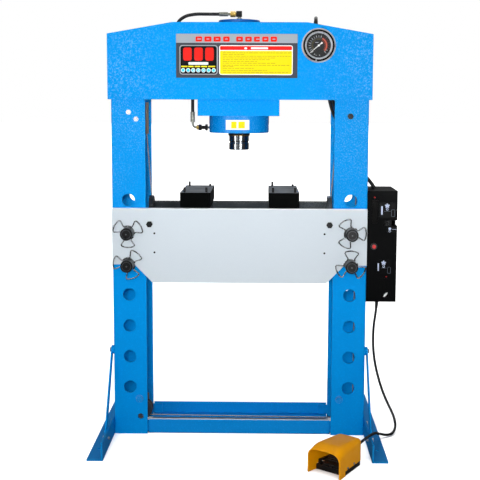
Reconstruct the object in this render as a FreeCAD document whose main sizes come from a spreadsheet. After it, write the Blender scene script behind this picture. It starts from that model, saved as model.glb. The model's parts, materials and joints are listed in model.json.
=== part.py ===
import FreeCAD, Part
import math
import os
from FreeCAD import Vector, Rotation, Placement

# Workshop H-frame hydraulic press with a foot pedal, in millimetres.
# Press frame while modelling: X across the front (right is +X), Y towards the
# back, Z up, floor at Z = 0, X = 0 and Y = 0 on the middle of the two columns.
# Every piece is then moved by (org_x, org_y) so that the part's origin is the
# middle of its footprint on the floor.

doc = FreeCAD.newDocument("hydraulic_press")

# ------------------------------------------------------------------ the sheet
SIZES = [
    ("org_x", -33.0, "from press frame to part frame, X"),
    ("org_y", 97.3, "from press frame to part frame, Y"),
    ("half_wide", 580.0, "column web outer face"),
    ("flange_wide", 153.5, "column flange width"),
    ("half_deep", 130.0, "column flange outer face, front and back"),
    ("col_wall", 12.0, "column plate thickness"),
    ("col_tall", 1800.0, "column length"),
    ("hole_x", 505.0, "pin hole column"),
    ("hole_dia", 58.0, "pin holes"),
    ("hole_first", 224.5, "lowest pin hole"),
    ("hole_step", 145.2, "pin hole pitch"),
    ("hole_count", 7.0, "pin holes in a column"),
    ("head_half", 592.0, "head plate half width"),
    ("head_low", 1551.0, "head plate bottom"),
    ("head_side", 1841.5, "head plate top at its ends"),
    ("head_top", 1892.5, "head plate top"),
    ("head_flat", 300.0, "half of the flat top edge"),
    ("head_thick", 18.0, "head plate thickness"),
    ("rib_x", 190.0, "head rib place"),
    ("rib_thick", 16.0, "head rib thickness"),
    ("rib_tall", 145.0, "head rib height"),
    ("cyl_x", -6.0, "ram axis, a little left of the middle"),
    ("mount_half", 184.0, "cylinder seat half width"),
    ("mount_low", 1478.0, "cylinder seat underside"),
    ("tube_dia", 210.0, "cylinder tube"),
    ("bore_dia", 180.0, "cylinder bore"),
    ("collar_dia", 276.0, "cylinder collar under the seat"),
    ("collar_low", 1400.0, "collar underside"),
    ("tube_top", 1884.0, "cylinder tube top"),
    ("cap_dia", 189.0, "cylinder cap"),
    ("cap_top", 1911.0, "cylinder cap top"),
    ("ram_dia", 92.0, "ram"),
    ("nose_top", 1354.0, "joint between the ram and its nose"),
    ("ram_low", 1321.0, "ram nose face"),
    ("piston_low", 1782.0, "piston underside at rest"),
    ("piston_tall", 70.0, "piston height"),
    ("bed_half", 578.0, "bed plate half width"),
    ("bed_top", 1061.0, "bed top"),
    ("bed_end", 804.0, "lower edge of the bed's ends"),
    ("bed_low", 721.0, "lower edge of the bed's middle"),
    ("bed_out", 477.0, "outer end of the bed's lower chamfer"),
    ("bed_in", 395.0, "inner end of the bed's lower chamfer"),
    ("bed_thick", 25.0, "bed plate thickness"),
    ("pin_dia", 56.0, "bed pin"),
    ("pin_front", 225.0, "bed pin front end before the columns' middle"),
    ("pin_back", 176.0, "bed pin back end"),
    ("wire_dia", 6.0, "pin clip wire"),
    ("clip_inner", 31.3, "pin clip inner loop radius"),
    ("clip_outer", 68.0, "pin clip petal radius"),
    ("block_wide", 138.0, "press block width"),
    ("block_tall", 70.0, "press block height"),
    ("block_long", 392.0, "press block length, front to back"),
    ("block_y", 66.0, "press block place, front to back"),
    ("block_x", 202.0, "press block place"),
    ("stud_dia", 10.0, "press block stud"),
    ("beam_tall", 67.0, "lower beam height"),
    ("beam_deep", 65.0, "lower beam bottom flange"),
    ("beam_wall", 6.0, "lower beam thickness"),
    ("beam_half", 421.0, "lower beam half length between the columns"),
    ("foot_half", 482.0, "foot half length"),
    ("foot_wall", 8.0, "foot angle thickness"),
    ("foot_tall", 83.0, "foot angle upright leg"),
    ("foot_wide", 70.0, "foot angle flat leg"),
    ("anchor_dia", 18.0, "floor anchor hole"),
    ("anchor_x", 617.0, "floor anchor hole place"),
    ("anchor_y", 348.0, "floor anchor hole place"),
    ("brace_wide", 40.0, "foot brace bar"),
    ("brace_thick", 6.0, "foot brace bar"),
    ("gauge_x", 349.5, "gauge centre"),
    ("gauge_z", 1790.7, "gauge centre"),
    ("gauge_dia", 152.0, "gauge flange"),
    ("gauge_hole", 126.0, "gauge hole in the head plate"),
    ("plate_wide", 540.0, "label plate"),
    ("plate_tall", 194.0, "label plate"),
    ("plate_x", -14.0, "label plate centre"),
    ("plate_z", 1744.0, "label plate centre"),
    ("rope_dia", 5.0, "hoist rope"),
    ("pack_left", 580.0, "power pack cabinet, side next to the column"),
    ("pack_right", 716.0, "power pack cabinet, outer side"),
    ("pack_front", -130.0, "power pack cabinet front"),
    ("pack_back", 115.0, "power pack cabinet back"),
    ("pack_low", 633.0, "power pack cabinet bottom"),
    ("pack_top", 1143.0, "power pack cabinet top"),
    ("pack_wall", 2.0, "power pack sheet"),
    ("hose_dia", 15.0, "pressure hose"),
    ("cord_dia", 12.0, "pedal cord"),
    ("pedal_x", 362.0, "pedal front middle"),
    ("pedal_y", -627.5, "pedal front middle"),
    ("pedal_turn", -37.0, "pedal yaw, degrees"),
    ("pedal_wide", 158.0, "pedal guard at its mouth"),
    ("pedal_rear", 114.0, "pedal guard at its back"),
    ("pedal_long", 205.0, "pedal guard length"),
    ("pedal_wall", 3.0, "pedal guard wall"),
]
sheet = doc.addObject("Spreadsheet::Sheet", "Sizes")
for row, (alias, value, note) in enumerate(SIZES, start=1):
    sheet.set("A%d" % row, alias)
    sheet.set("B%d" % row, repr(value))
    sheet.setAlias("B%d" % row, alias)
    sheet.set("C%d" % row, note)
doc.recompute()
V = {alias: value for alias, value, note in SIZES}


# ------------------------------------------- a number together with its cells
class Q:
    """A size: its value now, and the expression on the sheet that gives it."""

    def __init__(self, value, text):
        self.value = float(value)
        self.text = text

    def __add__(self, other):
        other = q(other)
        return Q(self.value + other.value, "(%s + %s)" % (self.text, other.text))

    def __sub__(self, other):
        other = q(other)
        return Q(self.value - other.value, "(%s - %s)" % (self.text, other.text))

    def __mul__(self, other):
        other = q(other)
        return Q(self.value * other.value, "(%s * %s)" % (self.text, other.text))

    def __truediv__(self, other):
        other = q(other)
        return Q(self.value / other.value, "(%s / %s)" % (self.text, other.text))

    def __neg__(self):
        return Q(-self.value, "(0 - %s)" % self.text)

    __radd__ = __add__
    __rmul__ = __mul__

    def __rsub__(self, other):
        return q(other) - self


def q(x):
    if isinstance(x, Q):
        return x
    x = float(x)
    return Q(x, repr(x)) if x >= 0 else Q(x, "(0 - %s)" % repr(-x))


def cell(name):
    return Q(V[name], "Sizes." + name)


NODES = []


def node(obj, label):
    obj.Label = label
    NODES.append(obj)
    return obj


def place(obj, x=0.0, y=0.0, z=0.0, turn=None):
    """Puts a piece at a point of the press frame, moved into the part's frame."""
    if turn is not None:
        obj.Placement = Placement(Vector(0, 0, 0), turn)
    obj.setExpression("Placement.Base.x", (q(x) + cell("org_x")).text)
    obj.setExpression("Placement.Base.y", (q(y) + cell("org_y")).text)
    obj.setExpression("Placement.Base.z", q(z).text)
    return obj


def feature(label, shape, at=None):
    """A Part::Feature whose shape is made in the press frame, moved the same way."""
    feat = node(doc.addObject("Part::Feature", label), label)
    feat.Shape = shape
    base = at or Placement(Vector(V["org_x"], V["org_y"], 0), Rotation())
    feat.Placement = base.multiply(shape.Placement)
    return feat


# ------------------------------------------------------------ sketch helpers
def new_body(label, as_node=True):
    body = doc.addObject("PartDesign::Body", label)
    return node(body, label) if as_node else body


def base_plane(body, role):
    for feature in body.Origin.OriginFeatures:
        if feature.Role == role:
            return feature
    raise ValueError(role)


def new_sketch(body, name, role, offset=0.0):
    sk = body.newObject("Sketcher::SketchObject", name)
    sk.AttachmentSupport = [(base_plane(body, role), "")]
    sk.MapMode = "FlatFace"
    off = q(offset)
    if abs(off.value) > 1e-9:
        sk.AttachmentOffset = Placement(Vector(0, 0, off.value), Rotation())
        sk.setExpression("AttachmentOffset.Base.z", off.text)
    return sk


def fix_point(sk, geo, pos, x, y):
    for kind, val, axis in (("DistanceX", q(x), -2), ("DistanceY", q(y), -1)):
        if abs(val.value) < 1e-7:
            sk.addConstraint(Sketcher.Constraint("PointOnObject", geo, pos, axis))
        else:
            index = sk.addConstraint(
                Sketcher.Constraint(kind, -1, 1, geo, pos, val.value))
            if "Sizes" in val.text:
                sk.setExpression("Constraints[%d]" % index, val.text)


def polygon(sk, points):
    count = len(points)
    first = sk.GeometryCount
    pts = [(q(x), q(y)) for x, y in points]
    for i in range(count):
        a, b = pts[i], pts[(i + 1) % count]
        sk.addGeometry(Part.LineSegment(Vector(a[0].value, a[1].value, 0),
                                        Vector(b[0].value, b[1].value, 0)), False)
    for i in range(count):
        sk.addConstraint(Sketcher.Constraint(
            "Coincident", first + i, 2, first + (i + 1) % count, 1))
    for i in range(count):
        fix_point(sk, first + i, 1, pts[i][0], pts[i][1])


def circle(sk, x, y, radius):
    x, y, radius = q(x), q(y), q(radius)
    geo = sk.addGeometry(Part.Circle(Vector(x.value, y.value, 0), Vector(0, 0, 1),
                                     radius.value), False)
    fix_point(sk, geo, 3, x, y)
    index = sk.addConstraint(Sketcher.Constraint("Radius", geo, radius.value))
    if "Sizes" in radius.text:
        sk.setExpression("Constraints[%d]" % index, radius.text)


def pad(body, sk, length, name="Pad", mid=False, flip=False):
    feature = body.newObject("PartDesign::Pad", name)
    feature.Profile = sk
    feature.Length = q(length).value
    feature.setExpression("Length", q(length).text)
    if mid:
        feature.SideType = "Symmetric"
    feature.Reversed = flip
    return feature


def pocket(body, sk, length, name="Pocket", mid=False, flip=False):
    feature = body.newObject("PartDesign::Pocket", name)
    feature.Profile = sk
    feature.Length = q(length).value
    feature.setExpression("Length", q(length).text)
    if mid:
        feature.SideType = "Symmetric"
    feature.Reversed = flip
    return feature


def revolve(body, sk, name="Revolution"):
    feature = body.newObject("PartDesign::Revolution", name)
    feature.Profile = sk
    feature.ReferenceAxis = (sk, ["V_Axis"])
    feature.Angle = 360.0
    return feature


def edges_where(shape, test):
    return ["Edge%d" % (i + 1) for i, e in enumerate(shape.Edges) if test(e)]


def round_edges(body, base, test, radius, name="Fillet"):
    doc.recompute()
    names = edges_where(base.Shape, test)
    if not names:
        raise ValueError("no edges for " + name)
    feature = body.newObject("PartDesign::Fillet", name)
    feature.Base = (base, names)
    feature.Radius = q(radius).value
    return feature


def bevel_edges(body, base, test, size, name="Chamfer"):
    doc.recompute()
    names = edges_where(base.Shape, test)
    if not names:
        raise ValueError("no edges for " + name)
    feature = body.newObject("PartDesign::Chamfer", name)
    feature.Base = (base, names)
    feature.Size = q(size).value
    return feature


def vertical(edge):
    d = edge.Vertexes[-1].Point - edge.Vertexes[0].Point if len(edge.Vertexes) == 2 else Vector()
    return d.Length > 1e-6 and abs(abs(d.z) - d.Length) < 1e-6


def along_y(edge):
    d = edge.Vertexes[-1].Point - edge.Vertexes[0].Point if len(edge.Vertexes) == 2 else Vector()
    return d.Length > 1e-6 and abs(abs(d.y) - d.Length) < 1e-6


def near(value, target, gap=0.05):
    return abs(value - target) < gap


# ---------------------------------------------------------- primitive helpers
def cyl(name, dia, length, x, y, z, axis="Z"):
    """A cylinder from a point, along +X, +Y or +Z."""
    c = doc.addObject("Part::Cylinder", name)
    c.Radius = q(dia).value / 2
    c.setExpression("Radius", (q(dia) / 2).text)
    c.Height = q(length).value
    c.setExpression("Height", q(length).text)
    if axis == "X":
        c.Placement = Placement(Vector(), Rotation(Vector(0, 1, 0), 90))
    elif axis == "Y":
        c.Placement = Placement(Vector(), Rotation(Vector(1, 0, 0), -90))
    for part, val in (("x", q(x)), ("y", q(y)), ("z", q(z))):
        c.setExpression("Placement.Base." + part, val.text)
    return c


def box(name, lx, ly, lz, x, y, z):
    """A box from its lowest corner."""
    b = doc.addObject("Part::Box", name)
    for prop, val in (("Length", q(lx)), ("Width", q(ly)), ("Height", q(lz))):
        setattr(b, prop, val.value)
        b.setExpression(prop, val.text)
    for part, val in (("x", q(x)), ("y", q(y)), ("z", q(z))):
        b.setExpression("Placement.Base." + part, val.text)
    return b


def prism(name, across, length, x, y, z, axis="Y"):
    """A hexagonal prism, across = flat to flat."""
    p = doc.addObject("Part::Prism", name)
    p.Polygon = 6
    p.Circumradius = q(across).value / math.sqrt(3)
    p.setExpression("Circumradius", "%s / sqrt(3)" % q(across).text)
    p.Height = q(length).value
    p.setExpression("Height", q(length).text)
    if axis == "X":
        p.Placement = Placement(Vector(), Rotation(Vector(0, 1, 0), 90))
    elif axis == "Y":
        p.Placement = Placement(Vector(), Rotation(Vector(1, 0, 0), -90))
    for part, val in (("x", q(x)), ("y", q(y)), ("z", q(z))):
        p.setExpression("Placement.Base." + part, val.text)
    return p


def fuse(name, *objs):
    f = doc.addObject("Part::MultiFuse", name)
    f.Shapes = list(objs)
    return f


def cut(name, base, tool):
    c = doc.addObject("Part::Cut", name)
    c.Base = base
    c.Tool = tool
    return c


def group(name, *objs):
    g = doc.addObject("Part::Compound", name)
    g.Links = list(objs)
    return g


def hex_bolt(name, x, y, z, axis, sign, across, head, shank_dia, shank, washer=0.0):
    """A hexagon bolt. Its head's underside (or its washer's) is on the given
    point, the shank runs along sign * axis and the head stands the other way."""
    ax = {"X": Vector(1, 0, 0), "Y": Vector(0, 1, 0), "Z": Vector(0, 0, 1)}[axis] * sign
    at = [q(x), q(y), q(z)]

    def point(step):
        return [at[i] + ax[i] * step for i in range(3)]

    def start(a, length):
        # primitives run along the positive axis
        return point(a) if sign > 0 else point(a + length)
    parts = []
    wt = 3.0 if washer else 0.0
    head_at = start(-head - wt, head)
    parts.append(prism(name + "_head", across, head, *head_at, axis=axis))
    if washer:
        parts.append(cyl(name + "_washer", washer, wt, *start(-wt, wt), axis=axis))
    parts.append(cyl(name + "_shank", shank_dia, shank + wt + 0.5,
                     *start(-wt - 0.5, shank + wt + 0.5), axis=axis))
    return fuse(name, *parts)


def tube_path(points, ratio=0.45):
    """Straight runs joined by tangent arcs. Each arc's radius is ratio times
    the shorter run beside it, divided by the tangent of half the turn."""
    pts = [Vector(*p) for p in points]
    edges, radii, here = [], [], pts[0]
    for i in range(1, len(pts) - 1):
        a, b = pts[i] - pts[i - 1], pts[i + 1] - pts[i]
        turn = a.getAngle(b)
        short = min(a.Length, b.Length)
        trim = ratio * short
        u, v = Vector(a).normalize(), Vector(b).normalize()
        start, end = pts[i] - u * trim, pts[i] + v * trim
        radius = trim / math.tan(turn / 2)
        radii.append(radius)
        bis = (v - u)
        bis.normalize()
        centre = pts[i] + bis * (radius / math.cos(turn / 2))
        mid = centre - bis * radius
        edges.append(Part.LineSegment(here, start).toShape())
        edges.append(Part.Arc(start, mid, end).toShape())
        here = end
    edges.append(Part.LineSegment(here, pts[-1]).toShape())
    return Part.Wire(edges), radii


def tube(label, points, dia, ratio=0.45):
    """A round tube along a route, swept as one pipe."""
    wire, radii = tube_path(points, ratio)
    start = Vector(*points[0])
    ahead = Vector(*points[1]) - start
    ring = Part.Wire([Part.Circle(start, ahead, dia / 2.0).toShape()])
    solid = wire.makePipeShell([ring], True, True)
    if solid.ShapeType != "Solid":
        solid = Part.Solid(solid) if solid.ShapeType == "Shell" else solid.Solids[0]
    if solid.Volume < 0:
        solid.reverse()
    expect = math.pi * dia * dia / 4.0 * wire.Length
    runs = [(Vector(*points[i + 1]) - Vector(*points[i])).Length for i in range(len(points) - 1)]
    print("%s: length %.1f, volume/expected %.4f, radii %s, runs %s" % (
        label, wire.Length, solid.Volume / expect,
        " ".join("%.0f" % r for r in radii), " ".join("%.0f" % r for r in runs)))
    return solid


import Sketcher

# ================================================================ the columns
# Each column is a bent-plate channel that opens towards the middle of the
# press, with a row of pin holes through both flanges.
def column(label, side):
    body = new_body(label)
    web, fl, dp, t = cell("half_wide"), cell("flange_wide"), cell("half_deep"), cell("col_wall")
    sk = new_sketch(body, label + "_section", "XY_Plane")
    pts = [(web, -dp), (web, dp), (web - fl, dp), (web - fl, dp - t),
           (web - t, dp - t), (web - t, t - dp), (web - fl, t - dp), (web - fl, -dp)]
    if side < 0:
        pts = [(-x, y) for x, y in pts]
    polygon(sk, pts)
    p = pad(body, sk, cell("col_tall"), label + "_channel")
    w = V["half_wide"]
    outer = round_edges(body, p, lambda e: vertical(e) and near(abs(e.Vertexes[0].X), w)
                        and near(abs(e.Vertexes[0].Y), V["half_deep"]), 7.0, label + "_bend")
    wi = V["half_wide"] - V["col_wall"]
    inner = round_edges(body, outer, lambda e: vertical(e) and near(abs(e.Vertexes[0].X), wi)
                        and near(abs(e.Vertexes[0].Y), V["half_deep"] - V["col_wall"]), 3.0,
                        label + "_bend_inside")
    holes = new_sketch(body, label + "_hole", "XZ_Plane")
    circle(holes, cell("hole_x") * side, cell("hole_first"), cell("hole_dia") / 2)
    pk = pocket(body, holes, cell("half_deep") * 2 + 4, label + "_pin_hole", mid=True)
    doc.recompute()
    row = body.newObject("PartDesign::LinearPattern", label + "_pin_holes")
    row.Originals = [pk]
    row.Direction = (holes, ["V_Axis"])
    row.Mode = "Spacing"
    row.Offset = V["hole_step"]
    row.setExpression("Offset", "Sizes.hole_step")
    row.Occurrences = int(V["hole_count"])
    body.Tip = row
    doc.recompute()
    return body, row


left_column, _ = column("left_column", -1)
# Bolt holes of the hoist in the left column: two for the pulley bracket, one
# for the crank of the rope drum and one for the tie bolt over it.
sk = new_sketch(left_column, "left_small_holes", "XZ_Plane", cell("half_deep") - 20)
for hx, hz, hd in ((-500.7, 1493.7, 15.0), (-467.0, 1463.0, 15.0), (-458.0, 84.0, 27.0)):
    circle(sk, hx, hz, hd / 2)
lp = pocket(left_column, sk, 60.0, "left_bolt_holes")
lp.Reversed = True
sk = new_sketch(left_column, "left_tie_holes", "XZ_Plane")
circle(sk, -462.0, 169.0, 10.3)
pocket(left_column, sk, cell("half_deep") * 2 + 4, "left_tie_bores", mid=True)
place(left_column)

right_column, _ = column("right_column", 1)
sk = new_sketch(right_column, "right_small_holes", "XZ_Plane", cell("half_deep") - 20)
circle(sk, 497.0, 1478.0, 7.5)
rp = pocket(right_column, sk, 60.0, "right_bolt_holes")
rp.Reversed = True
sk = new_sketch(right_column, "right_rear_hole", "XZ_Plane", -(cell("half_deep") - 20))
circle(sk, 497.0, 84.0, 7.5)
rp3 = pocket(right_column, sk, 60.0, "right_rear_bolt_hole")
sk = new_sketch(right_column, "right_tie_holes", "XZ_Plane")
circle(sk, 463.0, 171.0, 10.3)
pocket(right_column, sk, cell("half_deep") * 2 + 4, "right_tie_bores", mid=True)
# The two pressure hoses come in through one slot in the web.
sk = new_sketch(right_column, "hose_slot", "YZ_Plane", cell("half_wide") - 40)
polygon(sk, [(-50, 1172), (50, 1172), (50, 1246), (-50, 1246)])
rp2 = pocket(right_column, sk, 60.0, "right_hose_slot")
rp2.Reversed = True
place(right_column)

# ================================================================= the head
def head_plate(label, front):
    body = new_body(label)
    sk = new_sketch(body, label + "_outline", "XZ_Plane", 0)
    hw, fl = cell("head_half"), cell("head_flat")
    polygon(sk, [(-hw, cell("head_low")), (hw, cell("head_low")), (hw, cell("head_side")),
                 (fl, cell("head_top")), (-fl, cell("head_top")), (-hw, cell("head_side"))])
    if front:
        circle(sk, cell("gauge_x"), cell("gauge_z"), cell("gauge_hole") / 2)
    p = pad(body, sk, cell("head_thick"), label + "_pad")
    bevel_edges(body, p, lambda e: along_y(e), 1.5, label + "_corners")
    # the sketch's normal points to the front, so the pad runs to the front
    place(body, 0, (-cell("half_deep")) if front else cell("half_deep") + cell("head_thick"), 0)
    return body


head_plate("head_front_plate", True)
head_plate("head_rear_plate", False)

# Two ribs stand on the cylinder seat and tie the head plates together.
ribs = []
for side in (-1, 1):
    ribs.append(box("head_rib_%d" % (side + 2), cell("rib_thick"), cell("half_deep") * 2,
                    cell("rib_tall"), cell("rib_x") * side + cell("cyl_x") - cell("rib_thick") / 2,
                    -cell("half_deep"), cell("head_low")))
# The seat: a thick block under the head that the cylinder's collar pushes on.
body = new_body("seat_body", False)
sk = new_sketch(body, "seat_outline", "XY_Plane")
mh, dp = cell("mount_half"), cell("half_deep")
polygon(sk, [(-mh, -dp), (mh, -dp), (mh, dp), (-mh, dp)])
circle(sk, 0, 0, cell("tube_dia") / 2 + 0.5)
p = pad(body, sk, cell("head_low") - cell("mount_low"), "seat_block")
bevel_edges(body, p, vertical, 2.0, "seat_corners")
body.setExpression("Placement.Base.x", cell("cyl_x").text)
body.setExpression("Placement.Base.z", cell("mount_low").text)
place(node(group("cylinder_seat", body, *ribs), "cylinder_seat"))

# ============================================================== the cylinder
# Turned pieces on the ram axis. Each profile is drawn at its real height.
def turned(label, profile, x=None, y=0.0, z=0.0, extra=None):
    body = new_body(label)
    sk = new_sketch(body, label + "_profile", "XZ_Plane")
    polygon(sk, profile)
    rev = revolve(body, sk, label + "_turned")
    if extra:
        extra(body, rev)
    place(body, cell("cyl_x") if x is None else x, y, z)
    return body


gland_r = cell("ram_dia") / 2 + 8
turned("cylinder_body", [
    (gland_r, cell("collar_low")), (cell("collar_dia") / 2 - 3, cell("collar_low")),
    (cell("collar_dia") / 2, cell("collar_low") + 3), (cell("collar_dia") / 2, cell("mount_low")),
    (cell("tube_dia") / 2, cell("mount_low")), (cell("tube_dia") / 2, cell("tube_top")),
    (cell("bore_dia") / 2, cell("tube_top")), (cell("bore_dia") / 2, cell("collar_low") + 62),
    (gland_r, cell("collar_low") + 62)])


def cap_port(body, rev):
    sk = new_sketch(body, "cap_port", "XY_Plane", cell("cap_top") - 30)
    circle(sk, 0, 0, 7.0)
    pk = pocket(body, sk, 60.0, "cap_port_hole")
    pk.Reversed = True
    # two blind holes for the pin spanner that screws the cap in
    sk = new_sketch(body, "cap_spanner", "XY_Plane", cell("cap_top") - 10)
    circle(sk, -70.0, 0, 5.0)
    circle(sk, 70.0, 0, 5.0)
    pk = pocket(body, sk, 60.0, "cap_spanner_holes")
    pk.Reversed = True
    doc.recompute()


turned("cylinder_cap", [
    (0, cell("tube_top") - 22), (cell("bore_dia") / 2 - 0.2, cell("tube_top") - 22),
    (cell("bore_dia") / 2 - 0.2, cell("tube_top")), (cell("cap_dia") / 2, cell("tube_top")),
    (cell("cap_dia") / 2, cell("cap_top") - 3), (cell("cap_dia") / 2 - 3, cell("cap_top")),
    (0, cell("cap_top"))], extra=cap_port)

# The bronze bush guides the ram inside the collar, the wiper ring closes it.
turned("gland_bush", [
    (cell("ram_dia") / 2 + 0.05, cell("collar_low") + 2), (gland_r - 0.05, cell("collar_low") + 2),
    (gland_r - 0.05, cell("collar_low") + 60), (cell("ram_dia") / 2 + 0.05, cell("collar_low") + 60)])
turned("wiper_ring", [
    (cell("ram_dia") / 2 + 0.05, cell("collar_low") - 14), (cell("ram_dia") / 2 + 2.5, cell("collar_low") - 14),
    (cell("ram_dia") / 2 + 4, cell("collar_low") - 12), (cell("ram_dia") / 2 + 4, cell("collar_low")),
    (gland_r - 0.05, cell("collar_low")), (gland_r - 0.05, cell("collar_low") + 2),
    (cell("ram_dia") / 2 + 0.05, cell("collar_low") + 2)])

turned("ram", [
    (0, cell("nose_top")), (cell("ram_dia") / 2 - 3.5, cell("nose_top")),
    (cell("ram_dia") / 2 - 3.5, cell("nose_top") + 4), (cell("ram_dia") / 2, cell("nose_top") + 7),
    (cell("ram_dia") / 2, cell("piston_low")), (30, cell("piston_low")),
    (30, cell("piston_low") + cell("piston_tall") - 12), (0, cell("piston_low") + cell("piston_tall") - 12)])
turned("piston", [
    (30.02, cell("piston_low")), (cell("bore_dia") / 2 - 0.1, cell("piston_low")),
    (cell("bore_dia") / 2 - 0.1, cell("piston_low") + 22), (cell("bore_dia") / 2 - 8, cell("piston_low") + 22),
    (cell("bore_dia") / 2 - 8, cell("piston_low") + 42), (cell("bore_dia") / 2 - 0.1, cell("piston_low") + 42),
    (cell("bore_dia") / 2 - 0.1, cell("piston_low") + cell("piston_tall")),
    (30.02, cell("piston_low") + cell("piston_tall"))])
turned("piston_seal", [
    (cell("bore_dia") / 2 - 8, cell("piston_low") + 22), (cell("bore_dia") / 2 - 0.1, cell("piston_low") + 22),
    (cell("bore_dia") / 2 - 0.1, cell("piston_low") + 42), (cell("bore_dia") / 2 - 8, cell("piston_low") + 42)])
turned("ram_nose", [
    (0, cell("ram_low")), (cell("ram_dia") / 2 - 3, cell("ram_low")),
    (cell("ram_dia") / 2, cell("ram_low") + 3), (cell("ram_dia") / 2, cell("nose_top") - 3),
    (cell("ram_dia") / 2 - 2, cell("nose_top")), (0, cell("nose_top"))])

# =================================================================== the bed
def bed_plate(label, front):
    body = new_body(label)
    sk = new_sketch(body, label + "_outline", "XZ_Plane")
    b, e, o, i, lo, tp = (cell("bed_half"), cell("bed_end"), cell("bed_out"), cell("bed_in"),
                          cell("bed_low"), cell("bed_top"))
    polygon(sk, [(-i, lo), (i, lo), (o, e), (b, e), (b, tp), (-b, tp), (-b, e), (-o, e)])
    p = pad(body, sk, cell("bed_thick"), label + "_pad")
    doc.recompute()
    # pin holes, and half-round saddles that sit on the lower pins
    sk = new_sketch(body, label + "_holes", "XZ_Plane")
    for side in (-1, 1):
        circle(sk, cell("hole_x") * side, cell("hole_first") + cell("hole_step") * 5, cell("hole_dia") / 2)
        circle(sk, cell("hole_x") * side, cell("bed_end") + 1.3, cell("hole_dia") / 2)
        circle(sk, 407.5 * side, 989.0, 10.5)
        circle(sk, 385.5 * side, 947.4, 4.0)
        circle(sk, 385.5 * side, 860.0, 4.0)
    pk = pocket(body, sk, cell("bed_thick") + 2, label + "_bores", flip=True)
    sk.AttachmentOffset = Placement(Vector(0, 0, -1), Rotation())
    doc.recompute()
    place(body, 0, (-cell("half_deep")) if front else cell("half_deep") + cell("bed_thick"), 0)
    return body


bed_plate("bed_front_plate", True)
bed_plate("bed_rear_plate", False)

# Spacer tubes on the two bed bolts, each with a lug for a hoist rope.
lugs = []
for side, label in ((-1, "left_bed_lug"), (1, "right_bed_lug")):
    sp = cyl(label + "_tube", 36.0, cell("half_deep") * 2, 407.5 * side, -cell("half_deep"), 989.0, "Y")
    lx = -413.0 if side < 0 else 416.0
    lug = box(label + "_plate", 20.0, 96.0, 62.0, lx - 10.0, -48.0, 996.0)
    top = cyl(label + "_round", 96.0, 20.0, lx - 10.0, 0.0, 1058.0, "X")
    body = fuse(label + "_blank", sp, lug, top)
    holes = fuse(label + "_holes", cyl(label + "_bore", 20.4, cell("half_deep") * 2 + 10, 407.5 * side,
                                       -cell("half_deep") - 5, 989.0, "Y"),
                 cyl(label + "_eye", 12.0, 30.0, lx - 15.0, 0.0, 1080.0, "X"))
    lugs.append(cut(label, body, holes))
place(node(group("bed_lugs", *lugs), "bed_lugs"))

# A folded guard along the inside of the rear plate covers the cross stays;
# its lip lies over the top of the rear plate.
body = new_body("bed_guard")
sk = new_sketch(body, "guard_section", "YZ_Plane", -415.0)
hd, tp = cell("half_deep"), cell("bed_top")
polygon(sk, [(hd - 46, tp - 45), (hd - 46, tp + 5), (hd + cell("bed_thick"), tp + 5),
             (hd + cell("bed_thick"), tp), (hd - 41, tp), (hd - 41, tp - 40),
             (hd, tp - 40), (hd, tp - 45)])
pad(body, sk, 830.0, "guard_fold")
place(body)

# Two press blocks lie across the bed plates and reach past the rear one.
for side, label in ((-1, "left_press_block"), (1, "right_press_block")):
    body = new_body(label)
    sk = new_sketch(body, label + "_foot", "XY_Plane")
    bw, bl = cell("block_wide") / 2, cell("block_long") / 2
    polygon(sk, [(-bw, -bl), (bw, -bl), (bw, bl), (-bw, bl)])
    p = pad(body, sk, cell("block_tall"), label + "_pad")
    doc.recompute()
    # clear of the guard's lip at the back
    sk = new_sketch(body, label + "_relief", "XY_Plane")
    lip = 80.0 - cell("block_y")
    polygon(sk, [(-bw - 5, lip), (bw + 5, lip), (bw + 5, bl + 5), (-bw - 5, bl + 5)])
    pk = pocket(body, sk, 5.5, label + "_step", flip=True)
    doc.recompute()
    bevel_edges(body, pk, lambda e: vertical(e), 1.5, label + "_edges")
    place(body, cell("block_x") * side, cell("block_y"), cell("bed_top"))

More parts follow.
